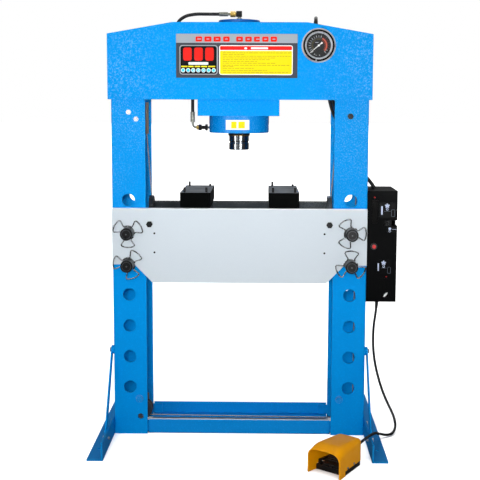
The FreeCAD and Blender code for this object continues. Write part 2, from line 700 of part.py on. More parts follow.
# ================================================================== bed pins
# Each pin passes through both bed plates and both flanges of a column; the
# end in front has a chamfer and a centre mark. Its clip is one bent wire: an
# open ring on the pin with three petals.
def make_clip(label, x, z, turn_deg, tilt_x, tilt_z):
    ri, ro = V["clip_inner"], V["clip_outer"]
    rc = 7.0
    # 3 petals of 62 degrees, joined by inner arcs of 58 degrees
    half = math.radians(29.0)
    inner_half = math.radians(24.0)

    def at(r, a):
        return Vector(r * math.cos(a), 0, r * math.sin(a))
    # round every corner between a leg and an arc with a small circle: found by
    # offsetting both curves on their inner sides
    edges = []
    wires = []
    for k in range(3):
        a = math.radians(90 + 120 * k)
        ends = {}
        for sgn in (-1, 1):
            p_in, p_out = at(ri, a + sgn * inner_half), at(ro, a + sgn * half)
            d = (p_out - p_in)
            d.normalize()
            n = Vector(-d.z, 0, d.x)            # a normal of the leg, in the plane
            if n.dot(at(1, a) - at(1, a + sgn * half)) < 0:
                n = n * -1                      # towards the petal's middle
            # outer corner circle: distance rc from the leg on the petal side,
            # and inside the outer arc (centre at radius ro - rc)
            base = p_in + n * rc
            bb, cc = base.dot(d), base.dot(base) - (ro - rc) ** 2
            s = -bb + math.sqrt(bb * bb - cc)
            co = base + d * s
            leg_o = co - n * rc
            arc_o = Vector(co)
            arc_o.normalize()
            arc_o = arc_o * ro
            # inner corner circle: on the other side of the leg, outside the
            # inner arc (centre at radius ri + rc)
            base = p_in - n * rc
            bb, cc = base.dot(d), base.dot(base) - (ri + rc) ** 2
            s = -bb + math.sqrt(max(bb * bb - cc, 0.0))
            ci = base + d * s
            leg_i = ci + n * rc
            arc_i = Vector(ci)
            arc_i.normalize()
            arc_i = arc_i * ri
            ends[sgn] = (co, leg_o, arc_o, ci, leg_i, arc_i)
        wires.append(ends)

    def arc_about(c, p, r_, p1):
        mid = (p - c) + (p1 - c)
        mid.normalize()
        return Part.Arc(p, c + mid * r_, p1).toShape()
    for k in range(3):
        a = math.radians(90 + 120 * k)
        e0, e1 = wires[k][-1], wires[k][1]
        nxt = wires[(k + 1) % 3][-1]
        edges.append(arc_about(e0[3], e0[5], rc, e0[4]))          # inner corner
        edges.append(Part.LineSegment(e0[4], e0[1]).toShape())    # leg out
        edges.append(arc_about(e0[0], e0[1], rc, e0[2]))          # outer corner
        edges.append(Part.Arc(e0[2], at(ro, a), e1[2]).toShape())  # petal arc
        edges.append(arc_about(e1[0], e1[2], rc, e1[1]))
        edges.append(Part.LineSegment(e1[1], e1[4]).toShape())    # leg in
        edges.append(arc_about(e1[3], e1[4], rc, e1[5]))
        if k < 2:
            edges.append(Part.Arc(e1[5], at(ri, a + math.radians(60)), nxt[5]).toShape())
        else:
            # the wire's two ends nearly meet on the last inner arc
            edges.append(Part.Arc(e1[5], at(ri, a + math.radians(44)), at(ri, a + math.radians(56))).toShape())
    wire = Part.Wire(edges)
    tang = edges[0].tangentAt(edges[0].FirstParameter)
    p0 = edges[0].valueAt(edges[0].FirstParameter)
    ring = Part.Wire([Part.Circle(p0, tang, V["wire_dia"] / 2).toShape()])
    solid = wire.makePipeShell([ring], True, True)
    if solid.ShapeType != "Solid":
        solid = Part.Solid(solid)
    if solid.Volume < 0:
        solid.reverse()
    turn = (Rotation(Vector(0, 0, 1), tilt_z) * Rotation(Vector(1, 0, 0), tilt_x)
            * Rotation(Vector(0, 1, 0), turn_deg))
    y = -(V["half_deep"] + V["bed_thick"] + V["wire_dia"] / 2 + 6.5)
    feature(label, solid, Placement(Vector(x + V["org_x"], y + V["org_y"], z), turn))


PINS = [
    ("upper_left", -1, 5, 61.0, 4.0, -3.0),
    ("lower_left", -1, 4, 40.0, 3.0, 3.0),
    ("upper_right", 1, 5, -30.0, 4.0, 3.0),
    ("lower_right", 1, 4, 3.0, 3.5, -2.0),
]
for name, side, k, spin, tx, tz in PINS:
    label = name + "_pin"
    body = new_body(label)
    sk = new_sketch(body, label + "_profile", "XZ_Plane")
    L = cell("pin_front") + cell("pin_back")
    r = cell("pin_dia") / 2
    # the pin is turned about its own length, then laid along Y
    polygon(sk, [(0, 5), (3.5, 0), (r - 4, 0), (r, 4), (r, L - 5), (r - 5, L), (0, L)])
    revolve(body, sk, label + "_turned")
    place(body, cell("hole_x") * side, -cell("pin_front"),
          cell("hole_first") + cell("hole_step") * k, Rotation(Vector(1, 0, 0), -90))
    make_clip(name + "_clip", V["hole_x"] * side, V["hole_first"] + V["hole_step"] * k, spin, tx, tz)

# ============================================================ lower frame
beams = []
for front in (True, False):
    sgn = -1 if front else 1
    low = 2.0 if front else 20.0
    tall = cell("beam_tall") if front else cell("beam_tall") - 9.0
    name = "front" if front else "rear"
    y_face = cell("half_deep") - 12.0
    wall = box(name + "_beam_wall", cell("beam_half") * 2, cell("beam_wall"), tall,
               -cell("beam_half"), (-y_face) if front else y_face - cell("beam_wall"), low)
    flange = box(name + "_beam_flange", cell("beam_half") * 2, cell("beam_deep"), cell("beam_wall"),
                 -cell("beam_half"), (-y_face) if front else y_face - cell("beam_deep"), low)
    # end cleats reach into the channels and are bolted to their flanges
    ends, holes = [], []
    y_cleat = (-y_face + cell("beam_wall")) if front else y_face - cell("beam_wall") * 2
    for side in (-1, 1):
        ends.append(box("%s_cleat_%d" % (name, side + 2), 104.0, cell("beam_wall"), tall - 12,
                        381.0 if side > 0 else -485.0, y_cleat, low + 3))
        ends.append(box("%s_strap_%d" % (name, side + 2), 53.0, cell("beam_wall"), 150.0,
                        432.0 if side > 0 else -485.0, y_cleat, 50.0))
        holes.append(cyl("%s_tie_bore_%d" % (name, side + 2), 20.6, 40.0, 463.0 if side > 0 else -462.0,
                         y_cleat - 20, 171.0 if side > 0 else 169.0, "Y"))
    holes.append(cyl("%s_crank_bore" % name, 34.0, 40.0, -458.0, y_cleat - 20, 84.0, "Y"))
    beams.append(cut(name + "_beam", fuse(name + "_beam_blank", wall, flange, *ends),
                     fuse(name + "_beam_bores", *holes)))
place(node(group("lower_beams", *beams), "lower_beams"))

for side, label in ((-1, "left_foot"), (1, "right_foot")):
    body = new_body(label)
    sk = new_sketch(body, label + "_section", "XZ_Plane")
    w, fw, tt, ww = cell("half_wide"), cell("foot_wall"), cell("foot_tall"), cell("foot_wide")
    pts = [(w, 0), (w + ww, 0), (w + ww, fw), (w + fw, fw), (w + fw, tt), (w, tt)]
    polygon(sk, [(x * side, z) for x, z in pts])
    p = pad(body, sk, cell("foot_half") * 2, label + "_angle", mid=True)
    doc.recompute()
    sk = new_sketch(body, label + "_anchor", "XY_Plane")
    for s2 in (-1, 1):
        circle(sk, cell("anchor_x") * side, cell("anchor_y") * s2, cell("anchor_dia") / 2)
    pk = pocket(body, sk, cell("foot_wall") + 2, label + "_anchor_holes", flip=True)
    doc.recompute()
    sk = new_sketch(body, label + "_bolts", "YZ_Plane", (cell("half_wide") - 5) * side)
    for s2 in (-1, 1):
        circle(sk, 95.0 * s2, 44.0, 8.6)
        circle(sk, 330.0 * s2, 49.0, 7.2)
    pk = pocket(body, sk, 30.0, label + "_bolt_holes", flip=side > 0)
    doc.recompute()
    place(body)

# Flat-bar braces from the columns' webs down to the feet, front and back.
braces, brace_bolts = [], []
y0, z0, y1, z1 = 104.0, 395.0, 330.0, 49.0
for side in (-1, 1):
    for s2 in (-1, 1):
        nm = "brace_%d%d" % (side + 2, s2 + 2)
        length = math.hypot(y1 - y0, z1 - z0)
        ang = math.degrees(math.atan2(z0 - z1, y1 - y0))
        # outer face side of the column web and of the foot's upright leg
        x_in = V["half_wide"] + V["foot_wall"]
        bar = Part.makeBox(V["brace_thick"], length, V["brace_wide"],
                           Vector(0, 0, -V["brace_wide"] / 2))
        for yy in (0.0, length):
            bar = bar.fuse(Part.makeCylinder(V["brace_wide"] / 2, V["brace_thick"],
                                             Vector(0, yy, 0), Vector(1, 0, 0)))
        for yy in (0.0, length):
            bar = bar.cut(Part.makeCylinder(7.2, V["brace_thick"] + 2, Vector(-1, yy, 0), Vector(1, 0, 0)))
        bar = bar.removeSplitter()
        bar.rotate(Vector(), Vector(1, 0, 0), -ang)
        bar.translate(Vector(x_in, y0, z0))
        # a round pad between the bar's top end and the web
        padd = Part.makeCylinder(V["brace_wide"] / 2, V["foot_wall"] + 0.0, Vector(V["half_wide"], y0, z0),
                                 Vector(1, 0, 0)).cut(
            Part.makeCylinder(7.2, 30, Vector(V["half_wide"] - 5, y0, z0), Vector(1, 0, 0)))
        bar = bar.fuse(padd).removeSplitter()
        if s2 < 0:
            bar = bar.mirror(Vector(), Vector(0, 1, 0))
        if side < 0:
            bar = bar.mirror(Vector(), Vector(1, 0, 0))
        braces.append(bar)
feature("foot_braces", Part.makeCompound(braces))

# the braces' top bolts pass through the webs
sk = None
for body, side in ((left_column, -1), (right_column, 1)):
    sk = new_sketch(body, "brace_holes_%d" % (side + 2), "YZ_Plane", (cell("half_wide") - 30) * side)
    for s2 in (-1, 1):
        circle(sk, y0 * s2, z0, 7.2)
        circle(sk, 95.0 * s2, 44.0, 8.6)
    pk = pocket(body, sk, 60.0, "brace_bolt_holes_%d" % (side + 2), flip=side > 0)
    doc.recompute()

# Zinc hexagon bolts: feet, braces and the pulley bracket.
bolts = []
xo = cell("half_wide") + cell("foot_wall")
for side in (-1, 1):
    for s2 in (-1, 1):
        tag = "%d%d" % (side + 2, s2 + 2)
        bolts.append(hex_bolt("foot_bolt_" + tag, xo * side, 95.0 * s2, 44.0, "X", -side, 24.0, 10.0, 16.0, 30.0, 30.0))
        bolts.append(hex_bolt("brace_bolt_top_" + tag, (xo + cell("brace_thick")) * side, y0 * s2, z0, "X", -side,
                              19.0, 8.0, 12.0, 34.0, 0))
        bolts.append(hex_bolt("brace_bolt_low_" + tag, (xo + cell("brace_thick")) * side, y1 * s2, z1, "X", -side,
                              19.0, 8.0, 12.0, 22.0, 0))
bolts.append(hex_bolt("bracket_bolt_1", -500.7, -cell("half_deep"), 1493.7, "Y", 1, 21.0, 9.0, 14.0, 200.0, 0))
bolts.append(hex_bolt("bracket_bolt_2", -467.0, -cell("half_deep"), 1463.0, "Y", 1, 21.0, 9.0, 14.0, 118.0, 0))
place(node(group("zinc_bolts", *bolts), "zinc_bolts"))

# Blue tie bolts at the foot of the columns hold the lower beams' cleats.
ties = []
for side, bx, bz in ((-1, -462.0, 169.0), (1, 463.0, 171.0)):
    for s2 in (-1, 1):
        tag = "%d%d" % (side + 2, s2 + 2)
        bolt = hex_bolt("tie_bolt_" + tag, bx, cell("half_deep") * s2, bz, "Y", -s2, 28.0, 11.0, 20.0,
                        40.0, 36.0)
        # a spacer ring fills the gap between the flange and the cleat
        ring_y = -cell("half_deep") + cell("col_wall") if s2 < 0 else cell("half_deep") - cell("col_wall") - 6.0
        ties.append(fuse("tie_" + tag, bolt, cyl("tie_ring_" + tag, 34.0, 6.0, bx, ring_y, bz, "Y")))
place(node(group("tie_bolts", *ties), "tie_bolts"))

# ================================================================= the hoist
# A hand-cranked rope hoist for the bed: one rope down each end of the bed.
rd = V["rope_dia"]
PXL, PZL, PRL = -500.7, 1493.7, 58.0        # over the left lug
GXL, GZL, GRL = -538.7, 104.0, 20.0         # guide roller beside the drum
PXR, PZR, PRR = 497.0, 1478.0, 42.0         # over the right lug
PZB = 84.0                                  # foot of the right column
DXB, DZB, DR = -458.0, 84.0, 34.0           # rope drum


def sheave(x, z, r, bore=14.6):
    prof = [(bore / 2, -9), (r + 4.5, -9), (r + 4.5, -6.5), (r - rd / 2 - 0.1, -3.2),
            (r - rd / 2 - 0.1, 3.2), (r + 4.5, 6.5), (r + 4.5, 9), (bore / 2, 9)]
    wire = Part.makePolygon([Vector(a, b, 0) for a, b in prof + [prof[0]]])
    solid = Part.Face(wire).revolve(Vector(), Vector(0, 1, 0), 360)
    solid = solid.Solids[0] if solid.ShapeType != "Solid" else solid
    solid.translate(Vector(x, 0, z))
    return solid


feature("hoist_pulleys", Part.makeCompound([
    sheave(PXL, PZL, PRL), sheave(GXL, GZL, GRL, 10.4), sheave(PXR, PZR, PRR), sheave(PXR, PZB, PRR)]))

# One bracket holds the left pulley; the other holds the drum and its roller.
br = fuse("bracket_blank", box("bracket_cheek_front", 138.0, 6.0, 145.0, -566.0, -21.0, 1393.0),
          box("bracket_cheek_back", 138.0, 6.0, 145.0, -566.0, 15.0, 1393.0),
          box("bracket_web", 84.0, 30.0, 6.0, -545.0, -15.0, 1393.0))
bh = fuse("bracket_bores", cyl("bracket_bore_1", 14.6, 60.0, -500.7, -30.0, 1493.7, "Y"),
          cyl("bracket_bore_2", 14.6, 18.0, -467.0, -30.0, 1463.0, "Y"))
db = fuse("drum_frame_blank", box("drum_cheek_front", 128.0, 8.0, 120.0, -566.0, -38.0, 26.0),
          box("drum_cheek_back", 128.0, 8.0, 120.0, -566.0, 30.0, 26.0),
          box("drum_web", 96.0, 60.0, 8.0, -566.0, -30.0, 26.0))
dbb = cyl("drum_bore", 18.6, 120.0, DXB, -60.0, DZB, "Y")
place(node(group("hoist_brackets", cut("pulley_bracket", br, bh),
                 fuse("drum_frame", cut("drum_frame_bored", db, dbb),
                      cyl("roller_axle", 10.0, 60.0, GXL, -30.0, GZL, "Y"))), "hoist_brackets"))

# The drum, turned by a crank through the hole in the left column's front.
wire = Part.makePolygon([Vector(a, b, 0) for a, b in [
    (0, -100), (9, -100), (9, -22), (42, -22), (42, -17), (DR - rd / 2 - 0.1, -17), (DR - rd / 2 - 0.1, 17),
    (42, 17), (42, 22), (9, 22), (9, 60), (0, 60), (0, -100)]])
drum = Part.Face(wire).revolve(Vector(), Vector(0, 1, 0), 360)
drum = drum.Solids[0] if drum.ShapeType != "Solid" else drum
drum = drum.fuse(Part.makeBox(13, 24, 13, Vector(-6.5, -122, -6.5))).removeSplitter()
drum.translate(Vector(DXB, 0, DZB))
feature("rope_drum", drum)


def on(cx, cz, r, a):
    """A point on a circle in the XZ plane, a in degrees from +X towards +Z."""
    a = math.radians(a)
    return Vector(cx + r * math.cos(a), 0, cz + r * math.sin(a))


def arc_xz(cx, cz, r, a0, a1):
    return Part.Arc(on(cx, cz, r, a0), on(cx, cz, r, (a0 + a1) / 2.0), on(cx, cz, r, a1)).toShape()


def line(a, b):
    return Part.LineSegment(a, b).toShape()


def sweep_rope(edges):
    wire = Part.Wire(edges)
    p0 = edges[0].valueAt(edges[0].FirstParameter)
    t0 = edges[0].tangentAt(edges[0].FirstParameter)
    ring = Part.Wire([Part.Circle(p0, t0, rd / 2).toShape()])
    solid = wire.makePipeShell([ring], True, True)
    if solid.ShapeType != "Solid":
        solid = Part.Solid(solid)
    if solid.Volume < 0:
        solid.reverse()
    print("rope: length %.0f, volume ratio %.4f" % (
        wire.Length, solid.Volume / (math.pi * rd * rd / 4 * wire.Length)))
    return solid


def touch_angle(px, pz, cx, cz, r, side):
    """Angle of the point where a line from (px, pz) touches a circle."""
    base = math.atan2(pz - cz, px - cx)
    return math.degrees(base + side * math.acos(r / math.hypot(px - cx, pz - cz)))


# Left rope: lug, over the pulley, down beside the web, round the roller and
# under the drum.
lug_l = Vector(-413.0, 0.0, 1106.0)
a0 = touch_angle(lug_l.x, lug_l.z, PXL, PZL, PRL, 1)
gx = PXL - PRL
g0 = 180.0
# common tangent of the roller's and the drum's undersides
dd = math.hypot(DXB - GXL, DZB - GZL)
slope = math.degrees(math.atan2(DZB - GZL, DXB - GXL)) - math.degrees(math.asin((DR - GRL) / dd))
g1 = 270.0 + slope
left_rope = sweep_rope([line(lug_l, on(PXL, PZL, PRL, a0)), arc_xz(PXL, PZL, PRL, a0, 180.0),
                        line(on(PXL, PZL, PRL, 180.0), on(GXL, GZL, GRL, 180.0)),
                        arc_xz(GXL, GZL, GRL, 180.0, g1),
                        line(on(GXL, GZL, GRL, g1), on(DXB, DZB, DR, g1))])
# Right rope: lug, over the top pulley, down, round the low pulley and across
# to the drum.
lug_r = Vector(423.5, 0.0, 1106.0)
a0 = touch_angle(lug_r.x, lug_r.z, PXR, PZR, PRR, -1) + 360.0
a0 = a0 if a0 < 360 else a0 - 360.0
tilt = math.degrees(math.asin((PRR - DR) / math.hypot(DXB - PXR, DZB - PZB)))
a2 = -90.0 - tilt
right_rope = sweep_rope([line(lug_r, on(PXR, PZR, PRR, a0)), arc_xz(PXR, PZR, PRR, a0, 0.0),
                         line(on(PXR, PZR, PRR, 0.0), on(PXR, PZB, PRR, 0.0)),
                         arc_xz(PXR, PZB, PRR, 0.0, a2),
                         line(on(PXR, PZB, PRR, a2), on(DXB, DZB, DR, a2))])
feature("hoist_ropes", Part.makeCompound([left_rope, right_rope]))

# Black bolts: bed stays, right pulleys' axles and studs on the press blocks.
blk = []
for side in (-1, 1):
    blk.append(hex_bolt("bed_bolt_%d" % (side + 2), 407.5 * side, -cell("half_deep") - cell("bed_thick"), 989.0,
                        "Y", 1, 26.0, 9.0, 20.0, cell("half_deep") * 2 + cell("bed_thick") * 2 + 16, 0))
blk.append(hex_bolt("right_axle_top", 497.0, -cell("half_deep"), 1478.0, "Y", 1, 24.0, 10.0, 14.0, 200.0, 0))
blk.append(hex_bolt("right_axle_low", 497.0, cell("half_deep"), 84.0, "Y", -1, 24.0, 10.0, 14.0, 200.0, 0))

studs = []
for side in (-1, 1):
    for dx in (-50.0, 50.0):
        for dy in (-171.0, 159.0):
            tall = 22.0
            if dx > 0 and dy > 0:
                tall = 10.0
            studs.append(cyl("stud_%d_%d_%d" % (side + 2, dx > 0, dy > 0), cell("stud_dia"), tall,
                             cell("block_x") * side + dx, cell("block_y") + dy,
                             cell("bed_top") + cell("block_tall"), "Z"))
place(node(group("black_bolts", *(blk + studs)), "black_bolts"))

# ================================================================= the gauge
gx, gz = cell("gauge_x"), cell("gauge_z")
y_head = -(V["half_deep"] + V["head_thick"])


def turned_y(label, profile, x, y, z):
    """A turned piece whose axis runs to the front (-Y); profile is (radius,
    distance in front of its base plane)."""
    body = new_body(label)
    sk = new_sketch(body, label + "_profile", "XZ_Plane")
    polygon(sk, profile)
    revolve(body, sk, label + "_turned")
    place(body, x, y, z, Rotation(Vector(1, 0, 0), 90))
    return body


gr = cell("gauge_dia") / 2
turned_y("gauge_case", [
    (0, -46), (gr - 15, -46), (gr - 15, 0), (gr, 0), (gr, 9), (gr - 4, 14), (gr - 12, 16.5),
    (gr - 14.5, 15), (gr - 14.5, 3), (0, 3)], gx, y_head, gz)
turned_y("gauge_dial", [(0, 3.2), (gr - 15.5, 3.2), (gr - 15.5, 4.4), (0, 4.4)], gx, y_head, gz)
turned_y("gauge_glass", [(0, 11), (gr - 15, 11), (gr - 15, 13.5), (0, 13.5)], gx, y_head, gz)
# the pointer: hub, long arm and tail, on the gauge's own axis
hub = Part.makeCylinder(4.5, 3.6, Vector(0, -5.0, 0), Vector(0, -1, 0))
arm = Part.makePolygon([Vector(-2.2, -6.4, -17), Vector(2.2, -6.4, -17), Vector(0.7, -6.4, 50),
                        Vector(-0.7, -6.4, 50), Vector(-2.2, -6.4, -17)])
arm = Part.Face(arm).extrude(Vector(0, -1.2, 0))
tail = Part.makeCylinder(4.2, 1.2, Vector(0, -6.4, -17), Vector(0, -1, 0))
ptr = hub.fuse([arm, tail]).removeSplitter()
feature("gauge_pointer", ptr, Placement(
    Vector(V["gauge_x"] + V["org_x"], y_head + V["org_y"], V["gauge_z"]), Rotation(Vector(0, 1, 0), -130.0)))
# the copper pipe from the gauge to the cylinder
pipe_pts = [(349.5, -116, 1729.6), (349.5, -115, 1714), (337, -112, 1704), (308, -108, 1703.5),
            (262, -99, 1705), (214, -82, 1706), (170, -57, 1706), (134, -32, 1705), (114, -20, 1704),
            (99, -13, 1704)]
gauge_pipe = tube("gauge_pipe", pipe_pts, 8.0)

# The sheet-metal plate on the head.
place(node(box("label_plate", cell("plate_wide"), 1.5, cell("plate_tall"), 0, 0, 0), "label_plate"),
      cell("plate_x") - cell("plate_wide") / 2, y_head - 1.5, cell("plate_z") - cell("plate_tall") / 2)

# ============================================================== power pack
pl, pr, pf, pb = cell("pack_left"), cell("pack_right"), cell("pack_front"), cell("pack_back")
plo, pto, pw = cell("pack_low"), cell("pack_top"), cell("pack_wall")
outer = box("cabinet_outer", pr - pl, pb - pf, pto - plo, pl, pf, plo)
inner = box("cabinet_inner", pr - pl - pw * 2, pb - pf - pw * 2, pto - plo - pw * 2, pl + pw, pf + pw, plo + pw)
tools = [inner,
         box("lever_slot", 60.0, 62.0, 25.0, 658.5, pf - 5, 984.0),
         box("level_window", 26.0, 20.0, 106.0, 601.0, pf - 5, 995.5),
         cyl("button_hole", 22.5, 20.0, 612.0, pf - 5, 889.0, "Y"),
         box("hand_slot", 22.0, 260.0, 17.0, 660.0, pf - 5, 655.0),
         cyl("cord_hole", 21.0, 30.0, 645.0, 0.0, plo - 10, "Z"),
         cyl("hose_hole_1", 28.0, 30.0, 624.0, -25.0, pto - 10, "Z"),
         cyl("hose_hole_2", 28.0, 30.0, 624.0, 25.0, pto - 10, "Z")]
for k in range(6):
    tools.append(box("vent_%d" % k, 20.0, 130.0, 6.0, pr - 10, -65.0, 700.0 + 22 * k))
tools_f = fuse("cabinet_cuts", *tools)
place(node(cut("pack_cabinet", outer, tools_f), "pack_cabinet"))

# inside: oil tank below, motor with its pump above, valve block on top
tank_o = box("tank_outer", 120.0, 220.0, 130.0, pl + pw, -118.0, 690.0)
tank_i = box("tank_inner", 114.0, 214.0, 124.0, pl + pw + 3, -115.0, 693.0)
place(node(cut("oil_tank", tank_o, tank_i), "oil_tank"))
mt = fuse("motor_body", cyl("motor_can", 104.0, 118.0, 650.0, 20.0, 832.0, "Z"),
          cyl("motor_foot", 110.0, 12.0, 650.0, 20.0, 820.0, "Z"))
place(node(mt, "pump_motor"))
vb = fuse("valve_body", box("valve_block_low", 100.0, 110.0, 50.0, 600.0, -52.0, 950.0),
          box("valve_block_high", 70.0, 76.0, 70.0, 600.0, -38.0, 1000.0))
vbh = cyl("valve_bore", 8.16, 60.0, 672.0, -60.0, 979.0, "Y")
place(node(cut("valve_block", vb, vbh), "valve_block"))

# The selector lever's handle stands in the slot at the cabinet's corner.
lev = fuse("lever_blank", cyl("lever_stem", 8.0, 88.0, 672.0, -112.0, 979.0, "Y"),
           cyl("lever_boss", 20.0, 12.0, 672.0, -112.0, 979.0, "Y"),
           box("lever_arm", 7.0, 9.0, 28.0, 668.5, -120.0, 976.0),
           cyl("lever_knob", 13.0, 16.0, 672.0, -127.0, 998.0, "Y"))
place(node(lev, "valve_lever"))

place(node(fuse("level_gauge", box("level_body", 25.0, 10.0, 105.0, 601.5, pf - 1, 996.0),
                box("level_back", 32.0, 4.0, 112.0, 598.0, pf + 2, 992.5)), "level_gauge"))
collar = cut("button_collar", fuse("button_collar_blank",
                                   cyl("button_ring", 30.0, 3.0, 612.0, pf - 3, 889.0, "Y"),
                                   cyl("button_thread", 22.0, 24.0, 612.0, pf, 889.0, "Y")),
             cyl("button_ring_bore", 17.7, 60.0, 612.0, pf - 10, 889.0, "Y"))
place(node(cyl("start_button", 17.0, 20.0, 0, 0, 0, "Y"), "start_button"), 612.0, pf - 9, 889.0)

gl = cut("cord_gland_cut", fuse("cord_gland_blank", cyl("gland_body", 20.0, 30.0, 645.0, 0.0, plo - 14, "Z"),
                                prism("gland_nut", 27.0, 14.0, 645.0, 0.0, plo - 14, "Z"),
                                cyl("gland_tail", 17.0, 16.0, 645.0, 0.0, plo - 28, "Z")),
         cyl("gland_bore", cell("cord_dia") + 0.2, 46.0, 645.0, 0.0, plo - 30, "Z"))
gl.Label = "cord_gland_bored"
# the bore is closed above, where the cord's tube ends
glp = fuse("cord_gland_whole", gl, cyl("gland_plug", cell("cord_dia") + 1.0, 18.0, 645.0, 0.0, plo - 2, "Z"))
place(node(group("pack_glands", glp, collar), "pack_glands"))

# ================================================================== hoses
# Both hoses leave the pack's top, go up inside the right column and cross the
# head. One feeds the cap, one the port at the collar.
CX = V["cyl_x"]
HOSE_A = [(632, 25, 1096), (632, 25, 1116), (625.5, 25, 1141), (613, 25, 1163.5), (596, 25, 1184.5),
          (577, 25, 1206), (560.5, 25, 1229), (547, 25, 1255), (537, 26, 1284), (526, 26, 1318),
          (510, 26, 1377), (484, 26, 1425), (459, 26, 1468),
          (440, 26, 1510), (426, 27, 1556), (402, 31, 1604), (358, 42, 1648), (300, 60, 1690),
          (240, 78, 1728), (172, 96, 1758), (100, 112, 1776), (30, 118.8, 1786), (-40, 118.8, 1788),
          (-110, 116, 1788), (-180, 104, 1790), (-240, 80, 1800), (-272, 54, 1816), (-295, 30, 1844),
          (-299, 12, 1880), (-282, 3, 1912), (-250, 0, 1932), (-205, 0, 1940), (-150, 0, 1939.5),
          (-98, 0, 1939.5)]
HOSE_B = [(632, -25, 1096), (632, -25, 1116), (625.5, -25, 1141), (613, -25, 1163.5), (596, -25, 1184.5),
          (577, -25, 1206), (561, -25, 1230), (548, -25, 1256), (539, -26, 1286), (528, -26, 1326),
          (511, -26, 1368), (480, -26, 1408), (447, -26, 1450),
          (422, -26, 1500), (408, -26, 1552), (398, -28, 1606), (388, -34, 1662), (377, -44, 1718),
          (365, -58, 1774), (352, -71, 1828), (343, -67, 1882), (342, -41, 1915), (344, -2, 1925),
          (345, 38, 1912), (338, 66, 1874), (315, 86, 1829), (272, 100, 1788), (222, 111, 1752),
          (160, 117.5, 1728), (88, 119.5, 1714), (20, 119, 1708), (-45, 118.5, 1706),
          (-105, 112, 1710), (-155, 94, 1718), (-195, 66, 1719), (-221, 38, 1699), (-229, 18, 1660),
          (-224, 6, 1616), (-221, 1.5, 1570), (-221, 0, 1530), (-221, 0, 1494)]
for label, pts in (("top_hose", HOSE_A), ("side_hose", HOSE_B)):
    feature(label, tube(label, pts, V["hose_dia"]))

# Zinc hose ends with brass nuts, and the bent steel tube of the side port.
def cyl_p(d, l, p, axis):
    return Part.makeCylinder(d / 2.0, l, Vector(*p), Vector(*axis))


def hex_p(across, l, p, axis):
    r = across / math.sqrt(3)
    pts = [Vector(r * math.cos(math.radians(60 * i)), r * math.sin(math.radians(60 * i)), 0) for i in range(7)]
    face = Part.Face(Part.makePolygon(pts))
    s = face.extrude(Vector(0, 0, l))
    rot = Rotation(Vector(0, 0, 1), Vector(*axis))
    s.Placement = Placement(Vector(*p), rot)
    return s


ends = []
# on the cap: ferrule along +X
f1 = cyl_p(20, 40, (-98, 0, 1939.5), (1, 0, 0)).fuse(cyl_p(12, 12, (-59, 0, 1939.5), (1, 0, 0)))
ends.append(f1.removeSplitter())
ends.append(gauge_pipe.cut(cyl_p(V["tube_dia"] + 0.02, 400, (CX, 0, 1480), (0, 0, 1))))
n1 = hex_p(24, 24, (-47, 0, 1939.5), (1, 0, 0)).fuse(cyl_p(17, 4, (-24, 0, 1939.5), (1, 0, 0)))
ends.append(n1.removeSplitter())
# neck from the elbow into the cap
ends.append(cyl_p(13.8, 45, (CX, 0, 1885), (0, 0, 1)).fuse(hex_p(22, 10, (CX, 0, 1911), (0, 0, 1))).removeSplitter())
# at the side port: ferrule going down, then the bent tube
f2 = cyl_p(20, 46, (-221, 0, 1448), (0, 0, 1))
ends.append(f2)
ends.append(tube("side_port_tube", [(-221, 0, 1448), (-220.5, 0, 1438), (-217.5, 0, 1429), (-211, 0, 1423.8),
                                    (-203, 0, 1423)], 10.0))
ends.append(hex_p(19, 10, (-203, 0, 1423), (1, 0, 0)))
ends.append(cyl_p(12, 13, (-151, 0, 1423), (1, 0, 0)).cut(
    cyl_p(V["collar_dia"] + 0.02, 100, (CX, 0, 1373), (0, 0, 1))))
# at the pack: two ferrules on the valve block
for yy in (-25.0, 25.0):
    ends.append(cyl_p(20, 26, (632, yy, 1070), (0, 0, 1)))
feature("hose_ends", Part.makeCompound(ends))

# Black fittings: the elbow over the cap and the banjo block at the collar.
blackf = []
elb = Part.makeBox(26, 24, 26, Vector(CX - 14, -12, 1927))
elb = elb.cut(cyl_p(13.8, 30, (CX, 0, 1900), (0, 0, 1)))
blackf.append(elb.removeSplitter())
sp = hex_p(24, 14, (-193, 0, 1423), (1, 0, 0)).fuse([
    cyl_p(17, 29, (-180, 0, 1423), (1, 0, 0)), hex_p(26, 12, (-163, 0, 1423), (1, 0, 0))])
sp = sp.removeSplitter()
blackf.append(sp)
feature("port_fittings", Part.makeCompound(blackf))

# ================================================================= the pedal
# Local frame: u across, v from the mouth to the back, w up.
PW, PR_, PLg, PT = V["pedal_wide"] / 2, V["pedal_rear"] / 2, V["pedal_long"], V["pedal_wall"]


def half_at(v):
    return PW + (PR_ - PW) * v / PLg


def tapered(profile, gap, reach=400.0):
    """A (v, w) outline right across the pedal, cut back to its tapered sides."""
    pts = [Vector(-reach / 2, v, w) for v, w in profile]
    body = Part.Face(Part.makePolygon(pts + [pts[0]])).extrude(Vector(reach, 0, 0))
    a, b = half_at(-40.0) - gap, half_at(260.0) - gap
    plan = Part.makePolygon([Vector(-a, -40, -50), Vector(a, -40, -50), Vector(b, 260, -50),
                             Vector(-b, 260, -50), Vector(-a, -40, -50)])
    return body.common(Part.Face(plan).extrude(Vector(0, 0, 300)))


def roof_edges(shape, low, high):
    out = []
    for e in shape.Edges:
        a, b = e.Vertexes[0].Point, e.Vertexes[-1].Point
        if (b - a).Length > 20 and abs(b.x - a.x) < 0.5 * abs(b.y - a.y) and min(a.z, b.z) > low and abs(b.y - a.y) > 10:
            if abs(a.x) > 20:
                out.append(e)
    return out


